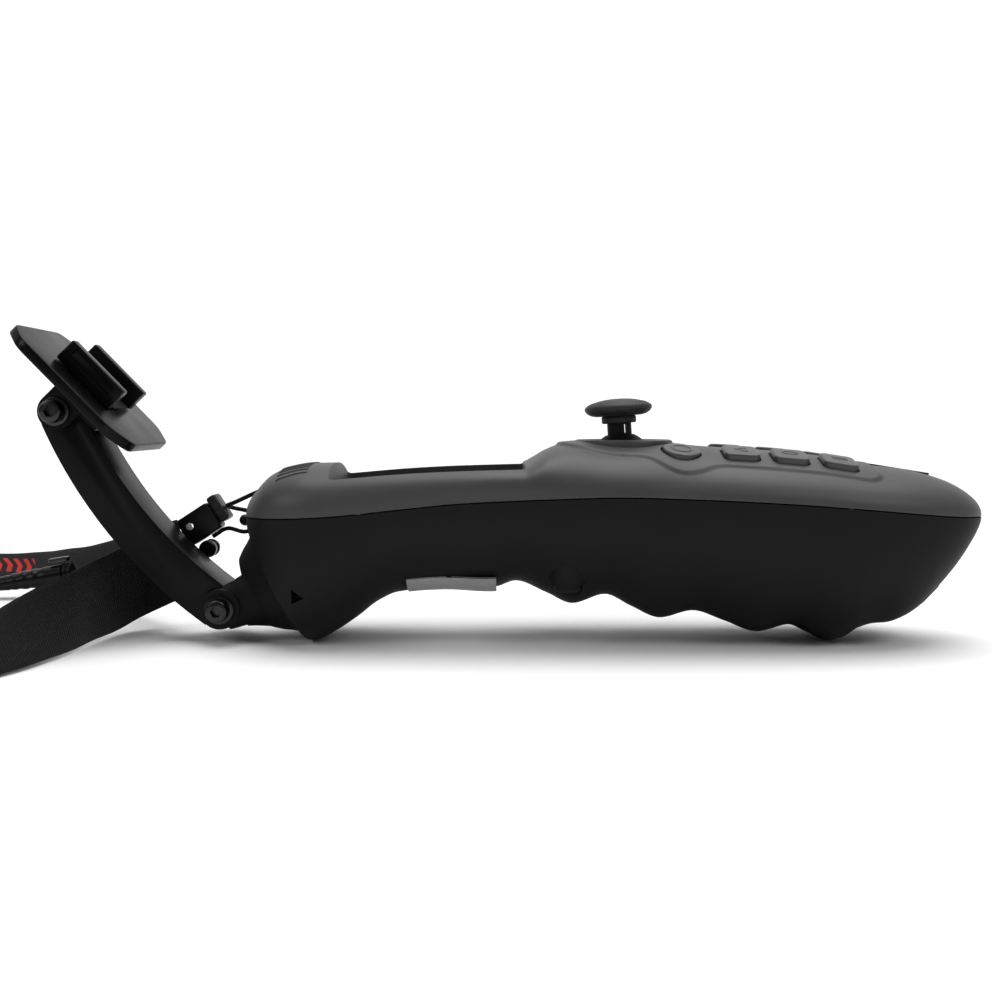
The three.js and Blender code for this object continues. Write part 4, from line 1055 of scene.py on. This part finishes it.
def hank_edges():
    first = hank_half()
    second = [(-x, -y) for x, y in first][::-1]
    edges = []
    for x, y in first + [(0, 0)] + second:
        spot = (HANK["x"] + x, HANK["y"] + y)
        edges.append((*spot, HANK["bottom"], *spot, HANK["top"]))
    return edges


def webbing():
    """The whole strap as one band, from the buckle, round the stored hank and back."""
    joins = [(-239.0, 42.5, 0.8, -241.0, 43.0, 19.4), (-243.2, 38.0, 0.8, -244.0, 38.2, 20.4)]
    hank = hank_edges()
    edges = FRONT_STRAP + hank[1:-6] + joins[::-1] + REAR_STRAP[::-1]
    lower = curve_points([e[:3] for e in edges], 6)
    upper = curve_points([e[3:] for e in edges], 6)
    centre = [(a + b) / 2 for a, b in zip(lower, upper)]
    half = WEBBING["thickness"] / 2
    across = [0, 0.04, 0.1, 0.3, 0.5, 0.7, 0.9, 0.96, 1]
    swell = [0.35, 0.8, 1, 0.92, 0.9, 0.92, 1, 0.8, 0.35]
    stations = range(len(across))
    vertices = []
    coordinates = []
    distance = 0.0
    for i, (low, high) in enumerate(zip(lower, upper)):
        if i:
            distance += (centre[i] - centre[i - 1]).length
        along = centre[min(i + 1, len(centre) - 1)] - centre[max(i - 1, 0)]
        face = along.cross(high - low).normalized()
        for side in (1, -1):
            for k in stations if side == 1 else reversed(stations):
                ripple = 0.12 * math.sin(distance * 0.21 + 5 * across[k])
                spot = low.lerp(high, across[k]) + face * (side * half * swell[k] + ripple)
                spot.z = max(spot.z, FLOOR_GAP)
                vertices.append(tuple(spot))
                coordinates.append((across[k], distance / 1000))
    count = 2 * len(across)
    faces = ring_faces(len(lower), count)
    last = (len(lower) - 1) * count
    faces.append(tuple(range(count - 1, -1, -1)))
    faces.append(tuple(range(last, last + count)))
    mesh = bpy.data.meshes.new("lanyard_webbing")
    mesh.from_pydata([metres(v) for v in vertices], [], faces)
    layer = mesh.uv_layers.new(name="strap")
    for loop in mesh.loops:
        layer.data[loop.index].uv = coordinates[loop.vertex_index]
    piece = into_scene("lanyard_webbing", mesh)
    return smooth(piece, 60), distance / 1000


def hank_tie():
    """A flat rubber band round the middle of the hank, as a closed ring of four edges."""
    rings = []
    half = HANK["depth"] + TIE["slack"]
    for grow in (0.0, TIE["thickness"]):
        ring = rounded_outline(2 * (half + grow), TIE["height"] + 2 * grow, 1.2, 5)
        rings.append([(y, z + TIE["middle"]) for y, z in ring])
    x0 = HANK["x"] - TIE["width"] / 2
    x1 = HANK["x"] + TIE["width"] / 2
    bands = []
    for x, ring in ((x0, rings[1]), (x1, rings[1]), (x1, rings[0]), (x0, rings[0])):
        bands.append([(x, HANK["y"] + y, max(z, FLOOR_GAP)) for y, z in ring])
    vertices = [p for band in bands + [bands[0]] for p in band]
    faces = ring_faces(5, len(rings[0]))
    return smooth(new_piece("hank_tie_band", vertices, faces), 40)


SIDEWAYS = Matrix.Rotation(math.pi / 2, 4, "X")


def buckle_frame():
    turn = Matrix.Rotation(-BUCKLE["turn"], 4, "Y")
    return Matrix.Translation((BUCKLE["x"], BUCKLE["y"], BUCKLE["z"])) @ turn


def buckle_block(name, size, along, up, radius):
    place = buckle_frame() @ Matrix.Translation((along, 0, up)) @ SIDEWAYS
    outline = rounded_outline(size[0], size[2], radius)
    half = size[1] / 2
    return smooth(bevelled(block_on(name, outline, half, half, place), 0.5, 3, 50), 35)


def buckle_body():
    body = buckle_block("buckle_body_shell", (9.6, 6, 7.6), -0.4, 0, 0.9)
    window = buckle_frame() @ Matrix.Translation((-2.6, 0, 0.8)) @ SIDEWAYS
    hole = block_on("hole", circle(1.0, 32), 5, 5, window)
    return smooth(combine(body, [hole], "DIFFERENCE"), 35)


def buckle_cap():
    cap = buckle_block("buckle_cap_shell", (2.6, 6.4, 7.4), 6.1, 0.8, 0.7)
    for up in (2.6, 0.4, -1.8):
        spot = buckle_frame() @ Matrix.Translation((6.1, 0, up)) @ SIDEWAYS
        for below, above in ((-2.9, 4), (4, -2.9)):
            combine(cap, [block_on("dimple", circle(0.42, 20), below, above, spot)], "DIFFERENCE")
    return smooth(cap, 35)


def buckle_roller():
    rings = []
    for y, r in ((11.8, 1.9), (12.1, 2.25), (13.2, 2.3), (13.4, 2.0), (15.8, 2.0), (16.0, 2.3),
                 (17.1, 2.25), (17.4, 1.9)):
        rings.append([(ROLLER["x"] + a, y, ROLLER["z"] + b) for a, b in circle(r, 32)])
    return smooth(loft("buckle_roller_pin", rings), 40)


def clasp_frame():
    turn = Matrix.Rotation(CLASP["turn"], 4, "Z") @ Matrix.Rotation(-CLASP["rise"], 4, "Y")
    return Matrix.Translation((CLASP["x"], CLASP["y"], CLASP["z"])) @ turn


def clasp_grip():
    high_at = smooth_curve([(-27, 0.5), (-26.2, 1.3), (-20, 2.2), (-10, 3.0), (-1.7, 3.1)])
    wide_at = smooth_curve([(-27, 1.2), (-26.2, 2.2), (-20, 3.0), (-10, 3.6), (-1.7, 3.3)])
    rings = []
    for x in [-27, -26.8, -26.5, -26.2] + spread(-25.6, -1.7, 0.8) + [-1.7]:
        waist = 1 - 0.07 * (math.sin(x * 2.0) > 0.4 and -18 < x < -8)
        ring = [(x, waist * wide_at(x) * a, waist * high_at(x) * b) for a, b in circle(1, 40)]
        rings.append([tuple(clasp_frame() @ Vector(p)) for p in ring])
    return smooth(loft("clasp_grip_body", rings), 45)


def clasp_collar():
    place = clasp_frame() @ Matrix.Rotation(math.pi / 2, 4, "Y")
    profile = [(0, -1.4), (3.0, -1.4), (3.4, -1.1), (3.4, -0.3), (3.1, -0.1), (3.1, 0.1),
               (3.4, 0.3), (3.4, 1.1), (3.0, 1.4), (0, 1.4)]
    return smooth(lathe("clasp_collar_ring", profile, 48, place), 35)


def clasp_tab():
    place = clasp_frame() @ Matrix.Translation((-2.2, 0, 4.6))
    tab = block_on("clasp_tab_plate", rounded_outline(6, 3.4, 0.9), 0.7, 0.7, place)
    return smooth(bevelled(tab, 0.3, 3, 50), 35)


def free_cord(name, route):
    """A thin cord as one open spline, three points per stretch of its route."""
    points = curve_points(route, 3)
    data = bpy.data.curves.new(name, "CURVE")
    data.dimensions = "3D"
    data.bevel_depth = CORD_DIAMETER / 2000
    data.bevel_resolution = 4
    data.use_fill_caps = True
    spline = data.splines.new("POLY")
    spline.points.add(len(points) - 1)
    for spot, point in zip(points, spline.points):
        point.co = (*metres(spot), 1)
    return into_scene(name, data), path_length([metres(p) for p in points])


def lanyard_bead():
    place = Matrix.Translation((BEAD["x"], BEAD["y"], BEAD["z"]))
    return smooth(lathe("lanyard_bead_ball", ball_profile(BEAD["radius"], 12), 32, place), 60)


# ---------------------------------------------------------------- materials
class Finish:
    """A principled material with a few helpers for its node tree."""

    def __init__(self, name, base, roughness, metallic=0.0, **sockets):
        self.material = bpy.data.materials.new(name)
        self.material.use_nodes = True
        self.tree = self.material.node_tree
        self.shader = self.tree.nodes["Principled BSDF"]
        self.shader.inputs["Base Color"].default_value = (*base, 1)
        self.shader.inputs["Roughness"].default_value = roughness
        self.shader.inputs["Metallic"].default_value = metallic
        for key, value in sockets.items():
            self.shader.inputs[key.replace("_", " ")].default_value = value
        self.place = self.tree.nodes.new("ShaderNodeTexCoord")
        self.last_bump = None

    def link(self, source, target):
        self.tree.links.new(source, target)

    def noise(self, scale, detail=3.0, stretch=(1, 1, 1), space="Object"):
        mapping = self.tree.nodes.new("ShaderNodeMapping")
        mapping.inputs["Scale"].default_value = stretch
        self.link(self.place.outputs[space], mapping.inputs["Vector"])
        noise = self.tree.nodes.new("ShaderNodeTexNoise")
        noise.inputs["Scale"].default_value = scale
        noise.inputs["Detail"].default_value = detail
        self.link(mapping.outputs["Vector"], noise.inputs["Vector"])
        return noise.outputs["Fac"]

    def ramp(self, value, stops):
        node = self.tree.nodes.new("ShaderNodeValToRGB")
        first = node.color_ramp.elements
        first[0].position = stops[0][0]
        first[0].color = (*stops[0][1], 1)
        first[1].position = stops[-1][0]
        first[1].color = (*stops[-1][1], 1)
        for position, colour in stops[1:-1]:
            first.new(position).color = (*colour, 1)
        self.link(value, node.inputs["Fac"])
        return node.outputs["Color"]

    def math(self, operation, a, b=None):
        node = self.tree.nodes.new("ShaderNodeMath")
        node.operation = operation
        for socket, value in zip(node.inputs, (a, b)):
            if value is None:
                continue
            if isinstance(value, (int, float)):
                socket.default_value = value
            else:
                self.link(value, socket)
        return node.outputs["Value"]

    def bump(self, height, strength, distance):
        node = self.tree.nodes.new("ShaderNodeBump")
        node.inputs["Strength"].default_value = strength
        node.inputs["Distance"].default_value = distance
        self.link(height, node.inputs["Height"])
        if self.last_bump:
            self.link(self.last_bump, node.inputs["Normal"])
        self.last_bump = node.outputs["Normal"]
        self.link(self.last_bump, self.shader.inputs["Normal"])

    def vary(self, value, dark, light, rough_low, rough_high):
        """Colour and roughness both follow the value."""
        self.link(self.ramp(value, [(0.3, dark), (0.7, light)]), self.shader.inputs["Base Color"])
        node = self.tree.nodes.new("ShaderNodeMapRange")
        node.inputs["From Min"].default_value = 0.3
        node.inputs["From Max"].default_value = 0.7
        node.inputs["To Min"].default_value = rough_low
        node.inputs["To Max"].default_value = rough_high
        self.link(value, node.inputs["Value"])
        self.link(node.outputs["Result"], self.shader.inputs["Roughness"])


def grey(value, blue=1.03):
    return (value, value, value * blue)


def moulded(name, level, rough, grain=0.12, **sockets):
    """Moulded plastic or rubber: a fine spark-eroded grain and slight unevenness in tone and gloss."""
    finish = Finish(name, grey(level), rough, **sockets)
    broad = finish.noise(45, 4)
    finish.vary(broad, grey(level * 0.93), grey(level * 1.07), rough - 0.04, rough + 0.05)
    finish.bump(finish.noise(2600, 2), grain, 0.00006)
    finish.bump(finish.noise(260, 3), 0.05, 0.0002)
    return finish.material


def brushed(name, level, rough, metallic, stretch, **sockets):
    """Satin metal with fine lines along one direction."""
    finish = Finish(name, grey(level), rough, metallic, **sockets)
    lines = finish.noise(900, 3, stretch)
    finish.vary(finish.noise(60, 3), grey(level * 0.9), grey(level * 1.1), rough - 0.05, rough + 0.06)
    finish.bump(lines, 0.12, 0.00004)
    return finish.material


def glossy_black():
    finish = Finish("display_cover", grey(0.006), 0.09, Coat_Weight=0.6, Coat_Roughness=0.04)
    finish.vary(finish.noise(30, 4), grey(0.005), grey(0.008), 0.07, 0.13)
    return finish.material


def label_paper():
    finish = Finish("label_film", grey(0.33, 1.0), 0.5)
    fibres = finish.noise(700, 4, (1, 1, 1))
    finish.vary(fibres, grey(0.30, 1.0), grey(0.37, 1.0), 0.45, 0.58)
    finish.bump(fibres, 0.06, 0.00005)
    return finish.material


WEAVE_PITCH = 0.0009
CHEVRON_PITCH = 0.0062
PRINT_RED = (0.55, 0.035, 0.025, 1)


def woven(print_start, print_end):
    """Black polyester webbing with herringbone ribs and a red row of chevrons between two lengths."""
    finish = Finish("webbing_weave", grey(0.01), 0.8, Specular_IOR_Level=0.2, Sheen_Weight=0.06)
    split = finish.tree.nodes.new("ShaderNodeSeparateXYZ")
    finish.link(finish.place.outputs["UV"], split.inputs["Vector"])
    u = split.outputs["X"]
    v = split.outputs["Y"]
    bands = finish.math("PINGPONG", finish.math("MULTIPLY", u, 8.0), 1.0)
    slant = finish.math("MULTIPLY", bands, 0.0011)
    along = finish.math("MULTIPLY", finish.math("ADD", v, slant), 2 * math.pi / WEAVE_PITCH)
    rib = finish.math("SINE", along)
    threads = finish.math("SINE", finish.math("MULTIPLY", u, 2 * math.pi * 34))
    weave = finish.math("ADD", rib, finish.math("MULTIPLY", threads, 0.6))
    finish.bump(weave, 0.55, 0.00012)
    fuzz = finish.noise(1500, 3)
    # The colour is darker in the weave's hollows, as painted shade, and also varies at random with the fuzz
    # noise.
    shade = finish.math("ADD", finish.math("MULTIPLY", weave, 0.09), fuzz)
    dark = finish.ramp(shade, [(0.25, grey(0.005)), (0.8, grey(0.016))])
    chevron = finish.math("PINGPONG", finish.math("SUBTRACT", u, 0.5), 0.5)
    phase = finish.math("ADD", finish.math("DIVIDE", v, CHEVRON_PITCH),
                        finish.math("MULTIPLY", chevron, 1.4))
    stripe = finish.math("LESS_THAN", finish.math("FRACT", phase), 0.5)
    inside = finish.math("LESS_THAN", chevron, 0.27)
    start = finish.math("GREATER_THAN", v, print_start)
    stop = finish.math("LESS_THAN", v, print_end)
    mask = finish.math("MULTIPLY", finish.math("MULTIPLY", stripe, inside),
                       finish.math("MULTIPLY", start, stop))
    mix = finish.tree.nodes.new("ShaderNodeMix")
    mix.data_type = "RGBA"
    finish.link(mask, mix.inputs["Factor"])
    first, second = [socket for socket in mix.inputs if socket.type == "RGBA"]
    finish.link(dark, first)
    second.default_value = PRINT_RED
    result = [socket for socket in mix.outputs if socket.type == "RGBA"][0]
    finish.link(result, finish.shader.inputs["Base Color"])
    return finish.material


def braided(name):
    finish = Finish(name, grey(0.008), 0.75, Specular_IOR_Level=0.25, Sheen_Weight=0.06)
    split = finish.tree.nodes.new("ShaderNodeSeparateXYZ")
    finish.link(finish.place.outputs["Object"], split.inputs["Vector"])
    twist = finish.math("ADD", split.outputs["X"], split.outputs["Z"])
    rib = finish.math("SINE", finish.math("MULTIPLY", twist, 2 * math.pi / 0.0008))
    finish.bump(rib, 0.6, 0.0001)
    # The colour follows the twist's ridges: lighter on the ridges and darker in the grooves between
    # strands, as painted shade.
    finish.vary(finish.math("MULTIPLY", rib, 0.5), grey(0.008), grey(0.02), 0.75, 0.88)
    return finish.material


def board_green():
    finish = Finish("solder_mask", (0.012, 0.07, 0.035), 0.35, Coat_Weight=0.3)
    tracks = finish.noise(350, 1, (1, 4, 1))
    finish.link(finish.ramp(tracks, [(0.42, (0.01, 0.06, 0.03)), (0.58, (0.03, 0.13, 0.06))]),
                finish.shader.inputs["Base Color"])
    finish.bump(tracks, 0.2, 0.00005)
    return finish.material


def cell_sleeve():
    finish = Finish("cell_sleeve", (0.05, 0.16, 0.38), 0.35)
    finish.vary(finish.noise(80, 3), (0.045, 0.14, 0.34), (0.055, 0.18, 0.42), 0.3, 0.42)
    return finish.material


# ---------------------------------------------------------------- assembly
def dress(piece, paint, slot, body, *nodes):
    piece.data.materials.clear()
    piece.data.materials.append(paint)
    if nodes:
        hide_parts(*nodes)
    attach(piece, body)
    return piece


def paint_node(name, paint):
    node = NODES[name]
    node.data.materials.clear()
    node.data.materials.append(paint)


make_camera()

# The cords and the strap.
cord_paint = braided("cord_braid")
fitting_paint = moulded("fitting_plastic", 0.005, 0.34, 0.06, Specular_IOR_Level=0.25)
trim_paint = moulded("fitting_trim", 0.016, 0.4, 0.06, Specular_IOR_Level=0.35)
steel_paint = brushed("fitting_steel", 0.09, 0.34, 1.0, (1, 12, 1))
screw_paint = brushed("black_oxide", 0.05, 0.26, 1.0, (4, 1, 4))
band_paint = moulded("band_rubber", 0.02, 0.62)

body_piece = dress(buckle_body(), fitting_paint, "buckle_plastic", "controller", "buckle_body")
cap_piece = dress(buckle_cap(), trim_paint, "buckle_trim", "controller", "buckle_cap")
roller_piece = dress(buckle_roller(), screw_paint, "frame_metal", "controller", "buckle_roller")
grip_piece = dress(clasp_grip(), fitting_paint, "buckle_plastic", "controller", "clasp_grip")
collar_piece = dress(clasp_collar(), fitting_paint, "buckle_plastic", "controller", "clasp_collar")
tab_piece = dress(clasp_tab(), steel_paint, "frame_metal", "controller", "clasp_tab")
bead_piece = dress(lanyard_bead(), fitting_paint, "lower_plastic", "controller", "lanyard_bead")
tie_piece = dress(hank_tie(), band_paint, "seal_rubber", "controller", "hank_tie")

loop_piece, loop_length = free_cord("lanyard_loop_cord", LOOP_ROUTE)
dress(loop_piece, cord_paint, "cord_fabric", "controller", "lanyard_loop")
lead_piece, lead_length = free_cord("clasp_lead_cord", LEAD_ROUTE)
dress(lead_piece, cord_paint, "cord_fabric", "controller", "clasp_lead")
strap_piece, strap_length = webbing()
strap_paint = woven(strap_length - 0.145, strap_length - 0.111)
dress(strap_piece, strap_paint, "webbing_fabric", "controller",
      "webbing_front", "webbing_hank", "webbing_rear")

make_stage()

# The body.
# Both shells are one black plastic: the top shell's lighter grey is painted light from above and the bottom
# shell's much darker grey is painted shade.
upper_lit_paint = moulded("upper_plastic", 0.06, 0.46, 0.14, Specular_IOR_Level=0.4)
lower_shaded_paint = moulded("lower_shaded_plastic", 0.008, 0.54, 0.1, Specular_IOR_Level=0.2)
key_paint = moulded("key_rubber", 0.065, 0.36, 0.05, Specular_IOR_Level=0.5)
# The raised marks are moulded in the keys' own rubber; their lighter grey than the keys is a painted
# highlight.
icon_highlight_paint = moulded("icon_painted_highlight", 0.11, 0.45, 0.03)
seal_paint = moulded("seal_rubber", 0.012, 0.64, 0.1, Specular_IOR_Level=0.25)
stick_paint = moulded("stick_rubber", 0.03, 0.5, 0.1, Specular_IOR_Level=0.35)
cover_paint = glossy_black()
arm_paint = brushed("anodised_black", 0.004, 0.3, 0.0, (1, 14, 1), Specular_IOR_Level=0.16)
plain_steel = brushed("plain_steel", 0.4, 0.32, 1.0, (1, 10, 1))

dress(upper_shell(), upper_lit_paint, "upper_plastic", "controller", "upper_shell")
dress(lower_shell(), lower_shaded_paint, "lower_plastic", "controller", "lower_shell")
for index in range(13):
    dress(rear_rib(index, 2.4 * (index - 6)), stick_paint, "upper_plastic", "controller")
dress(display_window(), cover_paint, "display_glass", "controller", "display_window")
dress(status_lens(), cover_paint, "display_glass", "controller", "status_lens")
dress(rating_label(), label_paper(), "label_film", "controller", "rating_label")
dress(port_cover(), seal_paint, "seal_rubber", "port_flap", "port_cover")
for side, sign in (("near", -1), ("far", 1)):
    dress(screw_plug(side, sign), seal_paint, "seal_rubber", "controller", f"screw_plug_{side}")

dress(joystick_collar(), stick_paint, "lower_plastic", "stick", "joystick_collar")
dress(joystick_stem(), lower_shaded_paint, "lower_plastic", "stick", "joystick_stem")
dress(joystick_dome(), lower_shaded_paint, "lower_plastic", "stick", "joystick_dome")
dress(joystick_cap(), stick_paint, "key_rubber", "stick", "joystick_cap")
for index in range(40):
    dress(cap_rib(index, 40), stick_paint, "key_rubber", "stick")

for name, x, y in key_places():
    dress(rectangular_key(name, x, y), key_paint, "key_rubber", name, name)
    for mark in key_icon(name, x, y):
        dress(mark, icon_highlight_paint, "key_rubber", name)
for side, sign in (("near", -1), ("far", 1)):
    body = f"round_button_{side}"
    dress(round_button(side, sign), key_paint, "key_rubber", body, body)
    dress(round_icon(side, sign), icon_highlight_paint, "key_rubber", body)

dress(arm_base(), lower_shaded_paint, "lower_plastic", "controller", "arm_base")
dress(tilt_arm(), arm_paint, "arm_metal", "arm", "tilt_arm")
dress(accessory_plate(), arm_paint, "arm_metal", "plate", "accessory_plate")
dress(slot_pad(), seal_paint, "seal_rubber", "plate", "slot_pad")
for side, sign in (("near", -1), ("far", 1)):
    dress(rail(side, sign), arm_paint, "arm_metal", "plate", f"rail_{side}")
for level, pivot, body in (("lower", LOWER_PIVOT, "controller"), ("upper", UPPER_PIVOT, "plate")):
    dress(pivot_screw(level, pivot), screw_paint, "black_steel", body, f"{level}_pivot_screw")
    dress(pivot_nut(level, pivot), screw_paint, "black_steel", body, f"{level}_pivot_nut")
    dress(pivot_washer(level, pivot), screw_paint, "black_steel", body, f"{level}_pivot_washer")

# CAD parts that keep their shape.
for name in ("gimbal_yoke", "joystick_housing", "radio_shield", "charge_socket", "shell_screw_near",
             "shell_screw_far", "base_bolt", "lanyard_pin"):
    paint_node(name, plain_steel)
green_paint = board_green()
for name in ("main_board", "key_board", "display_module", "antenna_strip"):
    paint_node(name, green_paint)
paint_node("battery_cell", cell_sleeve())
paint_node("battery_cradle", lower_shaded_paint)
paint_node("keypad_mat", key_paint)
